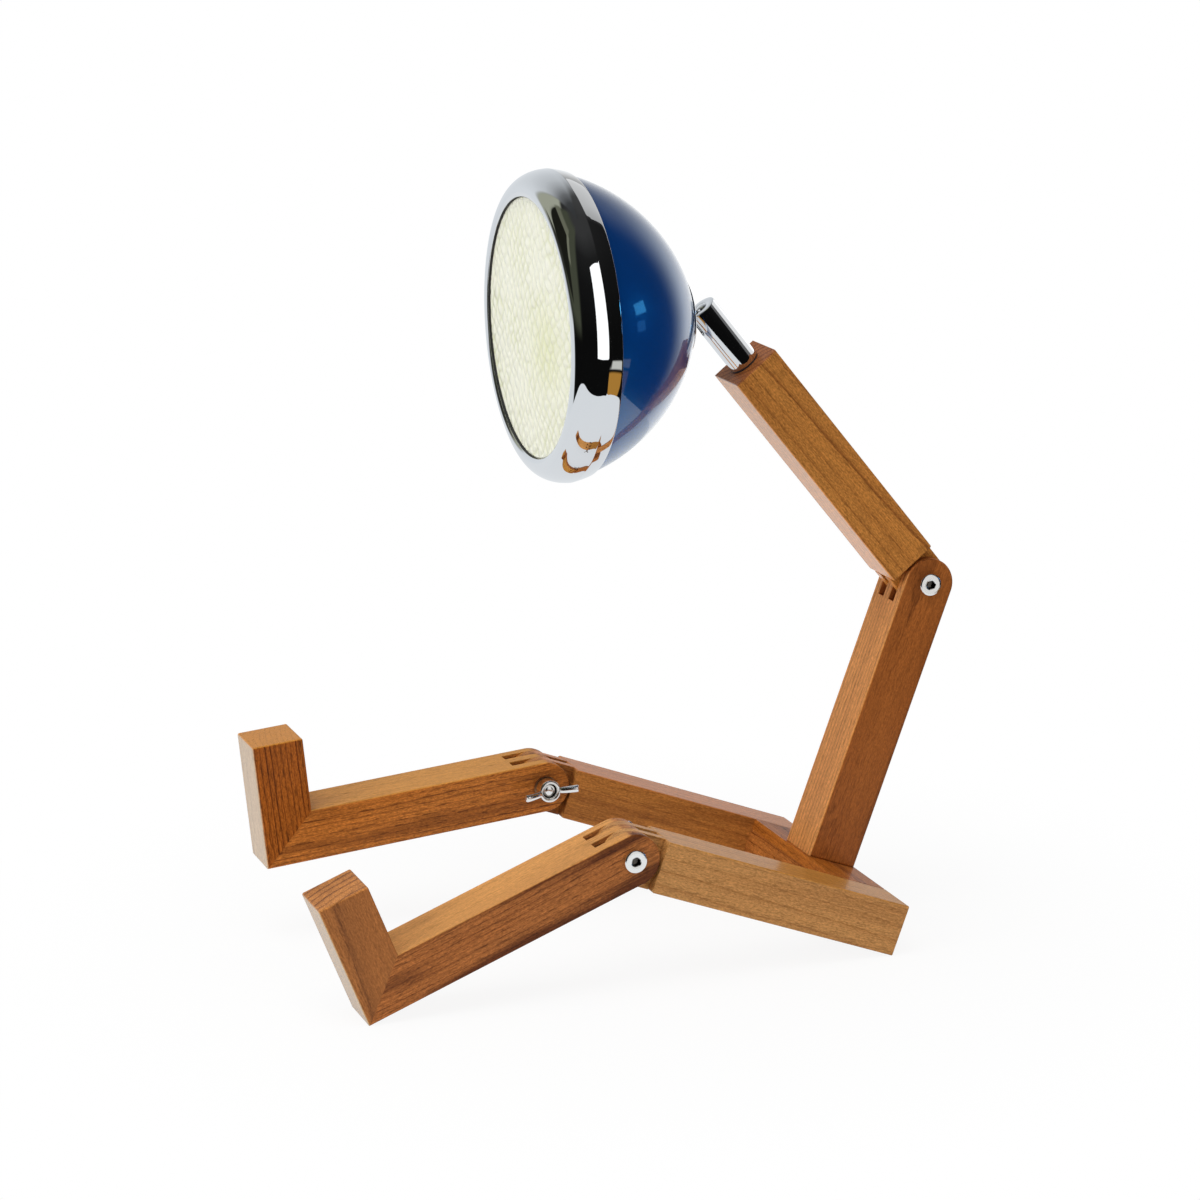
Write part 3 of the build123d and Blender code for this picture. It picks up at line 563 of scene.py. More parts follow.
# Each pattern's stretch along the grain, scale per mm, detail and roughness.
grainPatterns = {
    "slow": (0.16, 0.035, 1.5, 0.5),  # bends the rings
    "fine": (0.05, 0.55, 2.0, 0.5),  # roughens them
    "fibre": (0.035, 1.9, 3.0, 0.65),  # runs the length
    "fleck": (0.40, 1.9, 2.0, 0.7),
    "cells": (0.11, 1.7, 1.0, 0.5),  # dark dashes in the porous wood
    "patch": (0.25, 0.06, 2.0, 0.5),
    "band": (0.06, 0.14, 3.0, 0.55),
}
woodLook = {
    "bend": 9.0,  # how far the slow and the fine pattern push a ring, in mm
    "roughen": 0.9,
    "dense": ((0.0, 0.65), (0.08, 0.08), (0.60, 0.02), (0.86, 0.35), (0.97, 1.0)),
    "porous": ((0.0, 1.0), (0.30, 0.60), (0.62, 0.30), (0.9, 0.2), (1.0, 1.0)),
    "pores": ((0.0, 0.0), (0.54, 0.0), (0.63, 1.0), (1.0, 1.0)),
    "patch": ((0.32, 0.0), (0.70, 1.0)),
    "band": ((0.46, 0.0), (0.62, 1.0)),
    "fibre": ((0.30, 0.83), (0.70, 1.15)),
    "fleck": ((0.30, 0.62), (0.70, 1.34)),
    "chance": (0.9, 0.3),  # what chance adds to a year's line, and the least it shows
    "patchShare": 0.45,
    "poreShare": 0.85,
    "calming": 0.6,  # how much of its grain a wholly calm face loses
    "warm": (0.98, 0.86, 0.72),  # the pale wood's tint in the patches
    "red": (0.72, 0.58, 0.50),  # the deep wood's tint in the bands
    "dark": (0.34, 0.34, 0.34),  # and in the pores
    "rough": (0.25, 0.55),  # what the pores add to the roughness, and the wood's own
    "lift": (-1.0, 0.35),  # of the pores and the fibres
    "relief": (0.00010, 0.55),  # depth in m, and strength
}

# Where a face's own look starts, in mm from the beam's start.
faceEdges = {("X", 1): 12.2, ("Y", 1): 10.2, ("Y", -1): -10.2, ("Z", 40): 40.6, ("Z", 120): 120.6}
faceSoft = 0.25


def beamTurn(along, lean):
    # Local Z is the grain, local X the lamp's width where it can be.
    side = Vector((0, 1, 0)) if abs(along.x) > 0.9 else Vector((1, 0, 0))
    depth = along.cross(side).normalized()
    side = depth.cross(along).normalized()
    turn = Matrix((side, depth, along)).transposed()
    turn = turn @ Matrix.Rotation(math.radians(lean[0]), 3, "X")
    turn = turn @ Matrix.Rotation(math.radians(lean[1]), 3, "Y")
    return turn


def addGrain(tree, point, name, seed=None):
    stretch, scale, detail, roughness = grainPatterns[name]
    stretched = addVector(tree, "MULTIPLY", point, (1, 1, stretch))[0]
    return addNoise(tree, stretched, scale, detail, roughness, seed)


def addRings(tree, point, settings):
    # How far each point is through its year's ring, and a chance value for each year.
    slow = addGrain(tree, point, "slow", settings["seed"] * 17.3)
    fine = addGrain(tree, point, "fine")
    flat = addVector(tree, "MULTIPLY", point, (1, 1, 0))[0]
    radius = addVector(tree, "LENGTH", flat)["Value"]
    radius = multiplyAdd(tree, slow, woodLook["bend"], radius)
    radius = multiplyAdd(tree, fine, woodLook["roughen"], radius)
    rings = addMath(tree, "DIVIDE", radius, settings["ring"])
    year = {"W": addMath(tree, "FLOOR", rings)}
    chance = addNode(tree, "TexWhiteNoise", year, noise_dimensions="1D").outputs["Value"]
    return addMath(tree, "FRACT", rings), chance


def addDense(tree, step, chance, lines):
    # A year's wood starts porous and ends dense and dark.
    strength = multiply(tree, multiplyAdd(tree, chance, *woodLook["chance"]), lines)
    dense = addRamp(tree, step, woodLook["dense"])
    return multiply(tree, dense, strength, clamp=True)


def addPores(tree, point, step, streaks):
    pores = addRamp(tree, addGrain(tree, point, "cells"), woodLook["pores"])
    porous = addRamp(tree, step, woodLook["porous"])
    pores = multiply(tree, pores, porous, clamp=True)
    return multiply(tree, pores, streaks, clamp=True)


def addFaces(tree, origin, along, faces):
    # How calm the grain is, the tint, which paints light and shade on each face, and the gloss,
    # with the faces that differ laid over the rest.
    point = objectPoint(tree, origin, beamTurn(along, (0, 0)))
    parts = addNode(tree, "SeparateXYZ", {0: point}).outputs
    plain = woodFinish["Coat Weight"]
    calmness, faceLightAndShade, coat = 0.0, (1.0, 1.0, 1.0, 1.0), plain
    for axis, side, tint, gloss, calm in faces:
        low, high = (0.0, 1.0) if side > 0 else (1.0, 0.0)
        mask = addRise(tree, parts[axis], faceEdges[axis, side], faceSoft, low, high)
        calmness = multiplyAdd(tree, mask, calm, calmness)
        faceLightAndShade = addMix(tree, mask, faceLightAndShade, (*tint, 1.0))
        if gloss != plain:
            coat = multiplyAdd(tree, mask, gloss - plain, coat)
    return calmness, faceLightAndShade, coat


def makeWood(name, origin, along, settings):
    material, tree, shader = newMaterial("wood_" + name, woodFinish)
    turn = beamTurn(along, settings["lean"])
    pith = Vector((*settings["pith"], 0)) * mm
    point = objectPoint(tree, origin + turn @ pith, turn)
    step, chance = addRings(tree, point, settings)
    dense = addDense(tree, step, chance, settings["lines"])
    pores = addPores(tree, point, step, settings["streaks"])
    fibre = addGrain(tree, point, "fibre")
    calmness, faceLightAndShade, coat = addFaces(tree, origin, along, settings["faces"])
    lively = multiplyAdd(tree, calmness, -woodLook["calming"], 1.0)

    # The year's two kinds of wood, then broad patches and bands.
    pale, deep = fromDisplay(*settings["pale"]), fromDisplay(*settings["deep"])
    patch = addRamp(tree, addGrain(tree, point, "patch"), woodLook["patch"])
    patch = multiply(tree, patch, woodLook["patchShare"])
    band = addRamp(tree, addGrain(tree, point, "band"), woodLook["band"])
    band = multiply(tree, band, settings["bands"])
    base = addMix(tree, patch, pale, scaled(pale, woodLook["warm"]))
    base = addMix(tree, dense, base, deep)
    base = addMix(tree, band, base, scaled(deep, woodLook["red"]))
    base = addMix(tree, calmness, base, pale)

    # Fibres, flecks and pores, which a calm face shows less.
    fleck = addGrain(tree, point, "fleck")
    for pattern, kind in ((fibre, "fibre"), (fleck, "fleck")):
        shade = addRamp(tree, pattern, woodLook[kind])
        base = addMix(tree, lively, base, tinted(tree, base, shade))
    share = multiply(tree, multiply(tree, pores, woodLook["poreShare"]), lively)
    base = addMix(tree, share, base, scaled(deep, woodLook["dark"]))
    # The faces' tints paint light and shade into the base colour.
    tree.links.new(tinted(tree, base, faceLightAndShade), shader.inputs["Base Color"])
    if coat != woodFinish["Coat Weight"]:
        tree.links.new(coat, shader.inputs["Coat Weight"])
    rough = multiplyAdd(tree, pores, *woodLook["rough"])
    tree.links.new(rough, shader.inputs["Roughness"])
    sink, swell = woodLook["lift"]
    height = multiplyAdd(tree, pores, sink, multiply(tree, fibre, swell))
    addBump(tree, shader, height, *woodLook["relief"])
    return material


screwsLean = 0.384  # how far the torso's screws stand off its axis, in degrees


def beamStarts():
    # A point on each beam and the way its grain runs.
    rear = boxCentre("seat_dowels")
    starts = {}
    for side in ("left", "right"):
        knee = jointPlaces[side + "_knee"]
        heel = boxCentre(side + "_foot_dowels")
        heel.x = knee.x
        back = Vector((knee.x, rear.y, rear.z))
        starts[side + "_thigh"] = (knee, back - knee)
        starts[side + "_shin"] = (knee, heel - knee)
        starts[side + "_foot"] = (heel, (heel - knee).cross(Vector((1, 0, 0))))
    shoulder = jointPlaces["shoulder"]
    foot = boxCentre("torso_screws")
    down = Vector((0, foot.y, foot.z)) - shoulder
    starts["torso"] = (shoulder, Matrix.Rotation(math.radians(screwsLean), 3, "X") @ down)
    top = boxCentre("neck_bush")
    starts["arm"] = (shoulder, Vector((0, top.y, top.z)) - shoulder)
    starts["seat_block"] = (boxCentre("seat_block"), Vector((1, 0, 0)))
    return {name: (origin, along.normalized()) for name, (origin, along) in starts.items()}


def dressWood():
    starts = beamStarts()
    for name, settings in woodPieces.items():
        paint(makeWood(name, *starts[name], settings), name)


# Metals.
nickelTone = (0.93, 0.92, 0.895, 1.0)
hazePattern = (0.35, 3.0, 0.6)  # scale per mm, detail and roughness
polish = (0.9, 0.55)  # what the haze adds to the roughness, and the least, as shares of it


def makeMetal(name, tone, roughness, depth=0.0, grain=0.0):
    # The unevenness has a depth in metres and a grain per mm.
    settings = {"Base Color": tone, "Metallic": 1.0, "Roughness": roughness}
    material, tree, shader = newMaterial(name, settings)
    point = objectPoint(tree)
    haze = addNoise(tree, point, *hazePattern)
    rough = multiplyAdd(tree, haze, *(roughness * share for share in polish))
    tree.links.new(rough, shader.inputs["Roughness"])
    if grain:
        addBump(tree, shader, addNoise(tree, point, grain), depth)
    return material


def makeChrome():
    return makeMetal("chrome", (0.80, 0.815, 0.83, 1.0), 0.022)


def makeNickel():
    return makeMetal("nickel", nickelTone, 0.20, 0.00002, 1.8)


def makeBoltNickel():
    # Nickel with painted shade: dark where the bolt's mesh says it is hollow, in the hex socket.
    material = makeMetal("boltNickel", nickelTone, 0.16, 0.00002, 1.8)
    tree = material.node_tree
    hollow = addNode(tree, "Attribute", attribute_name="hollow").outputs["Fac"]
    # The socket's dark tone is painted shade.
    shade = addMix(tree, hollow, nickelTone, (0.10, 0.09, 0.08, 1.0))
    tree.links.new(shade, tree.nodes["Principled BSDF"].inputs["Base Color"])
    return material


def makeSteel():
    return makeMetal("steel", (0.62, 0.63, 0.65, 1.0), 0.30, 0.00003, 1.2)


# Washer metal tinted wood-brown: a painted reflection of the wood round the washers.
def makeWasherMetal():
    return makeMetal("washerPaintedReflection", (0.50, 0.29, 0.15, 1.0), 0.6, 0.00003, 1.2)


def makeBrass():
    return makeMetal("brass", fromDisplay(196, 160, 92), 0.28, 0.00003, 1.0)


def makeAluminium():
    return makeMetal("aluminium", (0.88, 0.88, 0.88, 1.0), 0.22, 0.00003, 0.6)


# Enamel, glass and moulded stuff.
enamelSettings = {
    "Base Color": (0.0001, 0.046, 0.265, 1.0),
    "Roughness": 0.30,
    "IOR": 1.9,
    "Specular Tint": (0.0, 0.60, 1.0, 1.0),
    "Coat Weight": 1.0,
    "Coat Roughness": 0.02,
    "Coat IOR": 1.65,
}


def makeEnamel():
    material, tree, shader = newMaterial("blueEnamel", enamelSettings)
    point = objectPoint(tree)
    tones = ((0.3, (0.0001, 0.044, 0.254, 1.0)), (0.7, (0.0002, 0.049, 0.278, 1.0)))
    cloud = addRamp(tree, addNoise(tree, point, 0.05), tones)
    tree.links.new(cloud, shader.inputs["Base Color"])
    addBump(tree, shader, addNoise(tree, point, 0.9), 0.000006, 0.4)
    return material


plainLook = {
    "spread": (3.0, 0.6),  # detail and roughness of the pattern
    "stops": ((0.35, 0.0), (0.65, 1.0)),
    "rough": 0.12,  # how far the roughness varies
    "finer": 6,  # the bumps' scale over the pattern's
    "depth": 0.00003,  # of the bumps, in m
}


def makePlain(name, tone, second, roughness, scale=0.4):
    # Moulded or glazed stuff with a little unevenness.
    material, tree, shader = newMaterial(name, {"Base Color": tone, "Roughness": roughness})
    point = objectPoint(tree)
    spread = addNoise(tree, point, scale, *plainLook["spread"])
    mixed = addMix(tree, addRamp(tree, spread, plainLook["stops"]), tone, second)
    tree.links.new(mixed, shader.inputs["Base Color"])
    vary = plainLook["rough"]
    rough = multiplyAdd(tree, spread, vary, roughness - vary / 2)
    tree.links.new(rough, shader.inputs["Roughness"])
    addBump(tree, shader, addNoise(tree, point, scale * plainLook["finer"]), plainLook["depth"])
    return material


def makeRubber():
    return makePlain("rubber", (0.016, 0.016, 0.017, 1), (0.03, 0.03, 0.032, 1), 0.55)


def makeNylon():
    return makePlain("nylon", (0.02, 0.02, 0.02, 1), (0.05, 0.05, 0.05, 1), 0.4)


def makeCeramic():
    return makePlain("ceramic", (0.86, 0.84, 0.78, 1), (0.78, 0.76, 0.70, 1), 0.2)


def makeDowelWood():
    pale, deep = fromDisplay(206, 170, 120), fromDisplay(180, 140, 92)
    return makePlain("dowelWood", pale, deep, 0.6, 0.3)


lensLook = {
    "cell": (0.98, 0.985, 0.83, 1.0),
    # Painted shade in the grooves between the lozenges, where the relief is low.
    "groove": (0.70, 0.73, 0.38, 1.0),
    "grooveStops": ((0.0, 1.0), (0.30, 0.5), (0.65, 0.05), (1.0, 0.0)),
    "cloud": (0.09, 3.0, 0.6),  # scale per mm, detail and roughness
    "cloudShare": (0.5, -0.25),
    # Where the grooves' painted shade shows, from a slow noise.
    "grooveShadeSpread": 0.055,
    "grooveShadeSpreadStops": ((0.35, 0.10), (0.68, 0.75)),
    # A yellower patch round a point, where the grooves' painted shade also shows.
    "yellowPatch": (0.83, 0.86, 0.46, 1.0),
    "yellowPatchPlace": (20, -73, -6),  # from the head's ball, in mm
    "yellowPatchWidth": 30,
    "yellowPatchStops": ((0.0, 0.8), (1.0, 0.0)),
    "bumps": 0.7,
    "bumpRelief": (0.00005, 0.5),  # depth in m, and strength
}


def makeLensGlass():
    settings = {
        "Base Color": lensLook["cell"],
        "Roughness": 0.16,
        "IOR": 1.49,
        "Transmission Weight": 0.12,
    }
    material, tree, shader = newMaterial("lensGlass", settings)
    point = objectPoint(tree)
    relief = addNode(tree, "Attribute", attribute_name="relief").outputs["Fac"]
    cloud = addNoise(tree, point, *lensLook["cloud"])
    relief = addMath(tree, "ADD", relief, multiplyAdd(tree, cloud, *lensLook["cloudShare"]))
    groove = addRamp(tree, relief, lensLook["grooveStops"])
    grooveShadeSpread = addRamp(tree, addNoise(tree, point, lensLook["grooveShadeSpread"]), lensLook["grooveShadeSpreadStops"])
    centre = ballPlace / mm + Vector(lensLook["yellowPatchPlace"])
    away = addVector(tree, "DISTANCE", point, centre)["Value"]
    yellowPatch = addMath(tree, "DIVIDE", away, lensLook["yellowPatchWidth"])
    yellowPatch = addRamp(tree, yellowPatch, lensLook["yellowPatchStops"], "EASE")
    # Painted shade in the grooves, where the slow noise or the yellow patch lets it show.
    groove = multiply(tree, groove, addMath(tree, "MAXIMUM", grooveShadeSpread, yellowPatch))
    tone = addMix(tree, groove, lensLook["cell"], lensLook["groove"])
    tone = addMix(tree, multiply(tree, yellowPatch, cloud), tone, lensLook["yellowPatch"])
    tree.links.new(tone, shader.inputs["Base Color"])
    bumps = addNoise(tree, point, lensLook["bumps"])
    addBump(tree, shader, bumps, *lensLook["bumpRelief"])
    return material


def makeBulbGlass():
    settings = {
        "Base Color": (1.0, 0.97, 0.86, 1.0),
        "Roughness": 0.45,
        "Transmission Weight": 0.5,
    }
    material, tree, shader = newMaterial("bulbGlass", settings)
    rough = multiplyAdd(tree, addNoise(tree, objectPoint(tree), 2.0), 0.2, 0.35)
    tree.links.new(rough, shader.inputs["Roughness"])
    return material


# Turned pieces. Their profiles are pairs of radius and height, in mm.
headTurn = Matrix.Rotation(math.radians(90), 3, "X")  # local Z forward along the head's axis


def turnedPart(name, profile, steps, closed=True):
    # The first ring is a circle, and each next one is extruded, moved and scaled.
    deselectAll()
    radius, height = profile[0]
    bpy.ops.mesh.primitive_circle_add(
        vertices=steps, radius=radius * mm, location=(0, 0, height * mm)
    )
    part = bpy.context.object
    rename(part, name)
    applyPlace()
    editAll()
    for nextRadius, nextHeight in profile[1:]:
        rise = (0, 0, (nextHeight - height) * mm)
        bpy.ops.mesh.extrude_edges_move(TRANSFORM_OT_translate={"value": rise})
        scale = nextRadius / radius
        middle = (0, 0, nextHeight * mm)
        bpy.ops.transform.resize(value=(scale, scale, 1), center_override=middle)
        radius, height = nextRadius, nextHeight
    bpy.ops.object.mode_set(mode="OBJECT")
    if closed:
        closeRing(part, profile)
    return part


def selectRing(mesh, radius, height):
    # Selects the edges of one ring of a turned piece.
    near = 0.01
    for edge in mesh.edges:
        points = [mesh.vertices[index].co / mm for index in edge.vertices]
        level = all(abs(point.z - height) < near for point in points)
        if level and all(abs(point.xy.length - radius) < near for point in points):
            edge.select = True


def closeRing(part, profile):
    # Joins the last ring of the profile to the first.
    clearSelection("EDGE")
    for radius, height in (profile[0], profile[-1]):
        selectRing(part.data, radius, height)
    bpy.ops.object.mode_set(mode="EDIT")
    bpy.ops.mesh.bridge_edge_loops()
    finishEdit()


def fitHead(part, material, node):
    putAt(part, ballPlace, headTurn)
    dress(part, material, "head", node)


bezelSettings = {
    "steps": 64,
    "rearRadius": 59.9,
    "rear": 56.3,
    "creaseRadius": 61.4,
    "crease": 63.0,
    "frontRadius": 53.2,
    "front": 74.8,
    "wall": 0.8,
    "lip": (
        (52.2, 74.62), (51.45, 74.34), (51.13, 74.14), (51.16, 73.98), (51.5, 73.92), (52.2, 73.95),
    ),
}


def frontCurve(settings, inset, degrees):
    # Points of the rounded front between the crease and the front's edge.
    frontRadius, crease = settings["frontRadius"], settings["crease"]
    across = settings["creaseRadius"] - inset - frontRadius
    reach = settings["front"] - inset - crease
    points = []
    for degree in degrees:
        turn = math.radians(degree)
        points.append((frontRadius + across * math.cos(turn), crease + reach * math.sin(turn)))
    return points


def bezelProfile(settings):
    rearRadius, rear, wall = settings["rearRadius"], settings["rear"], settings["wall"]
    creaseRadius, crease = settings["creaseRadius"], settings["crease"]
    frontRadius, front = settings["frontRadius"], settings["front"]
    points = [(rearRadius - 0.25, rear + 0.02), (rearRadius - 0.02, rear + 0.25)]
    points += [((rearRadius + creaseRadius) / 2 + 0.12, (rear + crease) / 2)]
    points += [(creaseRadius - 0.12, crease - 0.55), (creaseRadius, crease)]
    points += [(creaseRadius - 0.10, crease + 0.5)]
    points += frontCurve(settings, 0, (14, 28, 42, 55, 67, 78))
    points += [(frontRadius, front), *settings["lip"], (frontRadius, front - wall)]
    points += frontCurve(settings, wall, (72, 54, 36, 18))
    points += [(creaseRadius - wall, crease), (rearRadius - wall, rear + 0.3)]
    return points + [(rearRadius - wall + 0.1, rear + 0.02)]


def makeBezel(chrome):
    bezel = turnedPart("bezelRing", bezelProfile(bezelSettings), bezelSettings["steps"])
    smoothOver(bezel, 2)
    fitHead(bezel, chrome, "bezel")


sealSettings = {
    "steps": 96,
    "profile": (
        (53.55, 72.62), (53.55, 73.25), (53.2, 73.35), (52.0, 73.84), (51.3, 73.86), (51.14, 73.74),
        (51.12, 73.2), (51.15, 72.66), (51.3, 72.62),
    ),
}


def makeSeal(rubber):
    seal = turnedPart("lensSeal", sealSettings["profile"], sealSettings["steps"])
    smoothByAngle(seal, 50)
    fitHead(seal, rubber, "lens_gasket")


shellSettings = {
    "steps": 64,
    "bulge": 70.4,
    "rim": (59.0, 56.3),
    "flat": (16.0, 10.85),
    "wall": 1.2,
    "skirt": 61.5,
    "bead": 59.6,
    "beadWidth": 1.6,
    "hole": 3.02,
    "edge": 0.15,
}


def arcPoints(first, last, radius, count):
    # Points of an arc between two points that bulges away from the axis.
    across, down = first[0] - last[0], first[1] - last[1]
    chord = math.hypot(across, down)
    rise = math.sqrt(radius**2 - chord**2 / 4) / chord
    centre = ((first[0] + last[0]) / 2 - rise * down, (first[1] + last[1]) / 2 + rise * across)
    start = math.atan2(first[1] - centre[1], first[0] - centre[0])
    end = math.atan2(last[1] - centre[1], last[0] - centre[0])
    points = []
    for number in range(count):
        turn = start + (end - start) * number / (count - 1)
        points.append((centre[0] + radius * math.cos(turn), centre[1] + radius * math.sin(turn)))
    return points, centre


def shellInside(outer, centre, wall):
    # The outer arc moved inwards by the wall, from the flat to the rim.
    inner = []
    for radius, reach in reversed(outer):
        across, along = radius - centre[0], reach - centre[1]
        share = 1 - wall / math.hypot(across, along)
        inner.append((centre[0] + across * share, centre[1] + along * share))
    return inner


def shellProfile(settings):
    rim, flat, wall, edge = (settings[name] for name in ("rim", "flat", "wall", "edge"))
    skirt, bead, hole = settings["skirt"], settings["bead"], settings["hole"]
    beadEnd, inside = skirt - settings["beadWidth"], flat[1] + wall
    outer, centre = arcPoints(rim, flat, settings["bulge"], 12)
    inner = shellInside(outer, centre, wall)
    inner[0] = (flat[0] - 0.6, inside)
    last = inner[-1][0]
    points = [(rim[0], beadEnd), (rim[0], (skirt + rim[1]) / 2), *outer, (flat[0] - 0.4, flat[1])]
    points += [(hole + 0.3, flat[1]), (hole, flat[1] + 0.1), (hole, inside - 0.1)]
    points += [(hole + 0.3, inside), *inner, (last, skirt - edge), (last + edge, skirt)]
    points += [(bead - edge, skirt), (bead, skirt - edge), (bead, beadEnd + edge)]
    return points + [(bead - edge, beadEnd)]


def makeShell(enamel):
    shell = turnedPart("shellBowl", shellProfile(shellSettings), shellSettings["steps"])
    smoothOver(shell, 2)
    fitHead(shell, enamel, "shell")


# Lens.
lensSettings = {
    "radius": 53.5,
    "rim": 72.6,  # reach of the front face under the seal
    "step": 0.5,  # how much higher the front is inside the seal
    "stepWidth": 0.35,
    "back": 70.15,
    "crown": 1.05,
    "opening": 51.05,
    "cell": (6.4, 7.2),  # width and height of a lozenge
    "round": 2.4,  # how full a lozenge is
    "sway": ((0.06, 3.0), (0.22, 1.5)),  # how quick waves push the lozenges about, and how far
    "grid": 0.52,
    "depth": 0.55,
    "fade": (0.6, 1.2),  # plain margin, and the width over which the relief grows
    "seed": 4,  # of the waves, so that the net is the same on every run
}


def lozengeHeight(across, up, settings):
    # Height of the relief: 1 in a lozenge's middle and 0 in the groove round it.
    width, height = settings["cell"]
    spot = Vector((across, up, 0))
    place = spot.copy()
    for quick, far in settings["sway"]:
        place += noise.noise_vector(spot * quick) * far
    first = place.x / width + place.y / height
    second = place.x / width - place.y / height
    full = 1.0
    for share in (first, second):
        full *= 1.0 - abs((share % 1.0 - 0.5) * 2) ** settings["round"]
    return full


def limited(share):
    return min(1.0, max(0.0, share))


def raiseFront(mesh, settings):
    # Domes the front, lifts it inside the seal and cuts the relief. Returns the relief.
    opening, crown = settings["opening"], settings["crown"]
    margin, growth = settings["fade"]
    ball = (opening**2 + crown**2) / (2 * crown)
    heights = []
    for vertex in mesh.vertices:
        point = vertex.co / mm
        spread = point.xy.length
        dome = math.sqrt(ball**2 - min(spread, opening) ** 2) - (ball - crown)
        relief = lozengeHeight(point.x, point.y, settings)
        cut = (relief - 1.0) * settings["depth"] * limited((opening - margin - spread) / growth)
        lift = settings["step"] * limited((opening - spread) / settings["stepWidth"])
        vertex.co.z += (dome + lift + cut) * mm
        heights.append(relief)
    return heights


def makeLens(glass):
    settings = lensSettings
    radius = settings["radius"]
    count = int(2 * radius / settings["grid"])
    deselectAll()
    bpy.ops.mesh.primitive_grid_add(
        x_subdivisions=count,
        y_subdivisions=count,
        size=2 * radius * mm,
        location=(0, 0, settings["rim"] * mm),
    )
    lens = bpy.context.object
    rename(lens, "lensGlass")
    applyPlace()
    selectVertices(lens, lambda point: point.xy.length > radius - 0.1)
    bpy.ops.mesh.delete(type="VERT")
    bpy.ops.object.mode_set(mode="OBJECT")
    noise.seed_set(settings["seed"])
    heights = raiseFront(lens.data, settings)
    lens.data.attributes.new("relief", "FLOAT", "POINT").data.foreach_set("value", heights)
    bpy.ops.object.mode_set(mode="EDIT")
    bpy.ops.mesh.select_mode(type="EDGE")
    bpy.ops.mesh.select_all(action="SELECT")
    bpy.ops.mesh.region_to_loop()
    down = (0, 0, (settings["back"] - settings["rim"]) * mm)
    bpy.ops.mesh.extrude_edges_move(TRANSFORM_OT_translate={"value": down})
    bpy.ops.mesh.edge_face_add()
    finishEdit()
    smoothByAngle(lens, 40)
    fitHead(lens, glass, "lens")


# Neck, ball and plate.
neckSettings = {
    "steps": 96,
    "ballDrop": 26.0,  # arm's end to the ball's middle
    "outside": ((6.05, 0.55), (6.25, 0.75), (6.25, 29.5), (6.12, 29.82), (5.75, 30.0)),
    "mouth": ((3.05, 30.0), (2.86, 29.9), (2.78, 29.7)),
    "socket": 4.8,
    "socketRings": (29.0, 28.3, 27.4, 26.4),
    "slotWidth": 5.0,
    "slotDepth": 9.8,
    "end": 30.0,
    "edge": 0.12,
}


def neckTurn():
    # Local Z runs up the neck, and the slot faces local -Y.
    along = (ballPlace - boxCentre("neck_bush")).normalized()
    side = Vector((1, 0, 0))
    return Matrix((side, along.cross(side), along)).transposed()


def neckProfile(settings):
    socket, drop = settings["socket"], settings["ballDrop"]
    points = [*settings["outside"], *settings["mouth"]]
    for height in settings["socketRings"]:
        points.append((math.sqrt(socket**2 - (height - drop) ** 2), height))
    return points + [(socket, drop - 0.6), (socket, 0.55)]


def makeSlotCutter(settings):
    # Slot with a round end, laid across the front of the post.
    low = settings["end"] - settings["slotDepth"] + settings["slotWidth"] / 2
    deselectAll()
    bpy.ops.mesh.primitive_circle_add(
        vertices=48,
        radius=settings["slotWidth"] / 2 * mm,
        fill_type="NGON",
        location=(0, 0, low * mm),
        rotation=(math.radians(90), 0, 0),
    )
    cutter = bpy.context.object
    applyPlace()
    selectVertices(cutter, lambda point: point.z > low - 0.01)
    bpy.ops.transform.translate(value=(0, 0, 12 * mm))
    bpy.ops.mesh.select_all(action="SELECT")
    bpy.ops.mesh.extrude_region_move(TRANSFORM_OT_translate={"value": (0, -8 * mm, 0)})
    finishEdit()
    return cutter


def makeNeckPost(chrome):
    settings = neckSettings
    post = turnedPart("neckPost", neckProfile(settings), settings["steps"])
    cutter = makeSlotCutter(settings)
    takeOnly(post)
    modifier = post.modifiers.new("slot", "BOOLEAN")
    modifier.operation = "DIFFERENCE"
    modifier.solver = "EXACT"
    modifier.object = cutter
    bpy.ops.object.modifier_apply(modifier="slot")
    bpy.data.objects.remove(cutter)
    modifier = post.modifiers.new("edge", "BEVEL")
    modifier.width = settings["edge"] * mm
    modifier.segments = 2
    modifier.limit_method = "ANGLE"
    modifier.angle_limit = math.radians(50)
    bpy.ops.object.modifier_apply(modifier="edge")
    smoothByAngle(post, 35)
    turn = neckTurn()
    putAt(post, ballPlace - turn.col[2] * settings["ballDrop"] * mm, turn)
    dress(post, chrome, "neck", "neck_post")


studSettings = {
    "steps": 64,
    "ball": 4.75,
    "ballRings": 15,
    "stem": 2.25,
    "wire": 1.25,
    "flange": (5.0, 8.35, 9.35),
    "thread": (3.0, 20.05),
}


def studProfile(settings):
    ball, stem, wire, rings = (settings[name] for name in ("ball", "stem", "wire", "ballRings"))
    wide, low, high = settings["flange"]
    thread, end = settings["thread"]
    first, last = math.asin(wire / ball), math.pi - math.asin(stem / ball)
    points = []
    for number in range(rings):
        turn = first + (last - first) * number / (rings - 1)
        points.append((ball * math.sin(turn), -ball * math.cos(turn)))
    points += [(stem, low - 0.4), (stem + 0.3, low), (wide - 0.2, low), (wide, low + 0.2)]
    points += [(wide, high - 0.1), (wide - 0.1, high), (thread, high), (thread, end - 0.3)]
    return points + [(thread - 0.3, end), (wire, end)]


def makeBallStud(chrome):
    stud = turnedPart("ballStud", studProfile(studSettings), studSettings["steps"])
    smoothByAngle(stud, 35)
    fitHead(stud, chrome, "ball_stud")


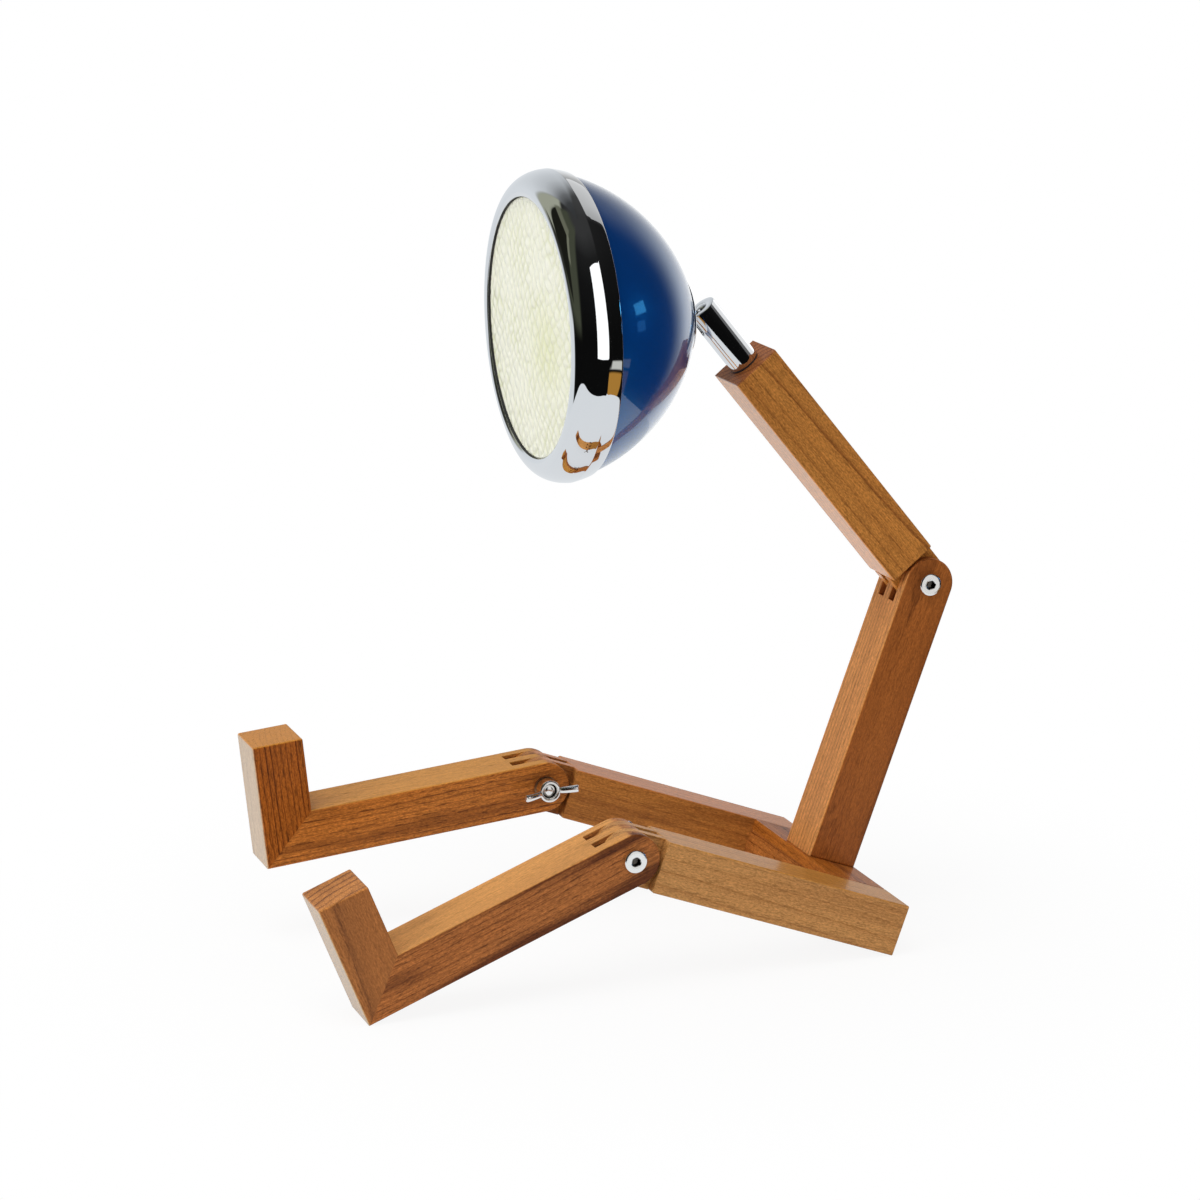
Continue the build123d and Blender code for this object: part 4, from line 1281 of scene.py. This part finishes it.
# A dished plate that hugs the shell, with a small boss in its middle.
plateSettings = {
    "steps": 96,
    "profile": (
        (3.02, 9.36), (4.3, 9.36), (4.5, 9.55), (4.75, 10.0), (5.2, 10.12), (14.6, 10.02),
        (15.3, 10.04), (15.85, 10.14), (16.2, 10.35), (16.35, 10.62), (16.3, 10.88), (16.1, 11.02),
        (15.6, 10.96), (15.2, 10.84), (3.02, 10.84),
    ),
}


def makeRearPlate(chrome):
    plate = turnedPart("rearPlate", plateSettings["profile"], plateSettings["steps"])
    smoothByAngle(plate, 40)
    fitHead(plate, chrome, "rear_plate")


# Bolts and wing nuts.
boltSettings = {
    "steps": 48,
    "point": 0.05,  # radius of the first and last rings, which are then closed
    "tip": ((0.9, 0.08), (1.7, 0.32), (2.25, 0.7), (2.5, 1.1)),  # heights from the bolt's end
    "head": (
        (2.5, 0.0), (4.55, 0.0), (4.65, 0.12), (4.65, 1.0), (4.58, 1.35), (4.38, 1.6), (4.05, 1.74),
        (3.6, 1.79), (2.25, 1.8), (2.05, 1.74),
    ),
    "socket": ((1.85, 1.55), (1.83, -0.9), (1.75, -1.0), (0.9, -1.3)),
    "socketEnd": -1.35,
    "hollow": (-1.4, 1.6, 2.1),  # the socket lies between these heights and inside this radius
    "reach": 31.0,  # from under the head to the bolt's end
    "headHeight": 1.8,
}


def hexShare(x, y):
    # How much nearer a hexagon's side is than the circle through its corners.
    turn = math.atan2(y, x) % math.radians(60) - math.radians(30)
    return math.cos(math.radians(30)) / math.cos(turn)


def shapeSocket(mesh, settings):
    # Draws the socket's rings in to a hexagon's sides, and marks them as hollow, where the material
    # paints shade.
    low, high, wide = settings["hollow"]
    hollow = []
    for vertex in mesh.vertices:
        x, y, z = vertex.co / mm
        inside = low < z < high and math.hypot(x, y) < wide
        hollow.append(1.0 if inside else 0.0)
        if inside:
            share = hexShare(x, y)
            vertex.co.x, vertex.co.y = vertex.co.x * share, vertex.co.y * share
    mesh.attributes.new("hollow", "FLOAT", "POINT").data.foreach_set("value", hollow)


def closePoint(part, height):
    # Merges the small ring at a height to one vertex.
    selectVertices(part, lambda point: abs(point.z - height) < 0.01 and point.xy.length < 0.1)
    bpy.ops.mesh.merge(type="CENTER")
    bpy.ops.object.mode_set(mode="OBJECT")


def makeBolt(name, settings):
    end, bottom, point = -settings["reach"], settings["socketEnd"], settings["point"]
    profile = [(point, end), *((radius, end + height) for radius, height in settings["tip"])]
    profile += [*settings["head"], *settings["socket"], (point, bottom)]
    bolt = turnedPart(name, profile, settings["steps"], closed=False)
    shapeSocket(bolt.data, settings)
    closePoint(bolt, end)
    closePoint(bolt, bottom)
    bpy.ops.object.mode_set(mode="EDIT")
    finishEdit()
    smoothByAngle(bolt, 32)
    return bolt


nutSettings = {
    "steps": 32,
    "hub": (
        (2.6, 0.05), (4.4, 0.0), (4.65, 0.2), (4.7, 1.2), (4.7, 4.8), (4.6, 5.5), (4.2, 5.95),
        (3.75, 6.0), (3.35, 5.8), (3.1, 5.2), (2.95, 4.3),
    ),
    "ear": (  # distance from the axis, height, and the ear's depth and thickness there
        (3.6, 5.3, 3.2, 2.9), (5.2, 6.4, 3.1, 2.9), (7.0, 7.2, 3.3, 3.0), (9.2, 7.8, 3.6, 3.2),
        (11.1, 8.2, 3.6, 3.3), (11.6, 8.3, 3.2, 3.0),
    ),
    "earTurn": 24,  # how steeply the ears rise, in degrees
}


def makeEar(settings, degrees):
    # One ear: a block at the hub, extruded outwards in steps and turned to its side.
    (out, up, deep, thick), *stations = settings["ear"]
    deselectAll()
    bpy.ops.mesh.primitive_plane_add(size=1, location=(out * mm, 0, up * mm))
    ear = bpy.context.object
    ear.scale = (deep * mm, thick * mm, 1)
    ear.rotation_euler = (0, math.radians(90 - settings["earTurn"]), 0)
    applyPlace()
    editAll()
    for nextOut, nextUp, nextDeep, nextThick in stations:
        move = ((nextOut - out) * mm, 0, (nextUp - up) * mm)
        bpy.ops.mesh.extrude_region_move(TRANSFORM_OT_translate={"value": move})
        grow = (nextDeep / deep, nextThick / thick, nextDeep / deep)
        bpy.ops.transform.resize(value=grow, center_override=(nextOut * mm, 0, nextUp * mm))
        out, up, deep, thick = nextOut, nextUp, nextDeep, nextThick
    finishEdit()
    smoothOver(ear, 2)
    ear.rotation_euler = (0, 0, math.radians(degrees))
    takeOnly(ear)
    applyPlace()
    return ear


def makeWingNut(name, settings):
    hub = turnedPart(name, settings["hub"], settings["steps"])
    smoothOver(hub, 1)
    ears = [makeEar(settings, degrees) for degrees in (0, 180)]
    takeOnly(hub)
    for ear in ears:
        ear.select_set(True)
    bpy.ops.object.join()
    rename(hub, name)
    return hub


def ownCopy(part, name):
    copy = part.copy()
    copy.data = part.data.copy()
    rename(copy, name)
    bpy.context.scene.collection.objects.link(copy)
    return copy


def axisTurn(outwards, along):
    # Local Z out of the wood, local X along the beam.
    up = Vector((outwards, 0, 0))
    return Matrix((along, up.cross(along), up)).transposed()


# joint, side of the bolt head, beam that the wing nut's ears lie along, bodies of bolt and nut
hardware = (
    ("left_knee", 1, "left_shin", "left_leg", "left_wing_nut"),
    ("right_knee", -1, "right_shin", "right_leg", "right_wing_nut"),
    ("shoulder", 1, "torso", "seat", "shoulder_nut"),
)


def fitOne(model, name, joint, node, side, turn, drop):
    # Sets a copy of the model on the joint's axis, drop mm in from the end of the CAD's piece.
    low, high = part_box(node)
    end = high.x if side > 0 else low.x
    middle = jointPlaces[joint]
    part = ownCopy(model, name)
    putAt(part, Vector((end - side * drop * mm, middle.y, middle.z)), turn)
    return part


def fitHardware(nickel, boltNickel):
    # Bolt head on one side of the beam, wing nut on the other.
    bolt = makeBolt("boltModel", boltSettings)
    nut = makeWingNut("wingNutModel", nutSettings)
    starts = beamStarts()
    for joint, side, beam, boltBody, nutBody in hardware:
        along = starts[beam][1]
        node, turn = joint + "_bolt", axisTurn(side, along)
        drop = boltSettings["headHeight"]
        part = fitOne(bolt, joint + "BoltSmooth", joint, node, side, turn, drop)
        dress(part, boltNickel, boltBody, node)
        node, turn = joint + "_wing_nut", axisTurn(-side, along)
        part = fitOne(nut, joint + "WingNutSmooth", joint, node, side, turn, 0)
        dress(part, nickel, nutBody, node)
    for model in (bolt, nut):
        bpy.data.objects.remove(model)


# Lit windows that only a few bright pieces mirror. Edges are in degrees.
boltsAndNuts = [joint + end for end in ("BoltSmooth", "WingNutSmooth") for joint, *_ in hardware]
neckAndPlate = ["neckPost", "rearPlate"]
strips = {  # azimuth, height, brightness and the pieces
    "stripLight": ((-38.0, 9.5), (-16.0, 52.0), 1.3, ["bezelRing"]),
    "bandLight": ((-153.0, -104.0), (28.0, 57.0), 0.40, ["bezelRing"]),
    "boltLight": ((-38.0, 9.5), (-32.0, 52.0), 0.72, boltsAndNuts),
    "postLight": ((-135.0, -70.0), (-40.0, 48.0), 0.9, neckAndPlate),
    "postGlow": ((-70.0, -48.0), (-40.0, 48.0), 0.14, neckAndPlate),
}

# The lamp is put together.
bpy.context.scene.view_settings.view_transform = "Standard"
report("stage")
makeCamera(cameraSettings)
makeWorld(worldSettings)
for name, settings in softboxes.items():
    makeSoftbox(name, settings)
makeFloor(floorSettings)

report("wood")
dressWood()

report("metal, enamel and glass")
chrome, nickel, boltNickel, steel = makeChrome(), makeNickel(), makeBoltNickel(), makeSteel()
enamel, glass, rubber = makeEnamel(), makeLensGlass(), makeRubber()
paint(chrome, "neck_post", "ball_stud", "rear_plate", "bezel")
washerMetal = makeWasherMetal()
for joint, *_ in hardware:
    paint(nickel, joint + "_bolt", joint + "_wing_nut")
    paint(washerMetal, joint + "_washer")
paint(steel, "torso_screws", "spring_washers", "neck_spigot", "neck_clip", "bezel_clips")
paint(steel, "holder_bracket", "stud_washer", "stud_nut", "holder_screws")
paint(makeBrass(), "neck_bush")
paint(makeAluminium(), "reflector")
paint(enamel, "shell")
paint(glass, "lens")
paint(makeBulbGlass(), "bulb_envelope")
paint(rubber, "cord_grommet", "lens_gasket")
paint(makeNylon(), "neck_washer", "ball_pad")
paint(makeCeramic(), "lamp_holder", "bulb_base")
paint(makeDowelWood(), "seat_dowels", "left_foot_dowels", "right_foot_dowels")

report("head")
makeBezel(chrome)
makeSeal(rubber)
makeShell(enamel)
makeLens(glass)

report("neck")
makeNeckPost(chrome)
makeBallStud(chrome)
makeRearPlate(chrome)

report("bolts and wing nuts")
fitHardware(nickel, boltNickel)

report("lights for single pieces")
for name, settings in strips.items():
    makeStrip(name, *settings)
spare("topLight", "shellBowl")

deselectAll()
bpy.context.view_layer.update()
report("finished")
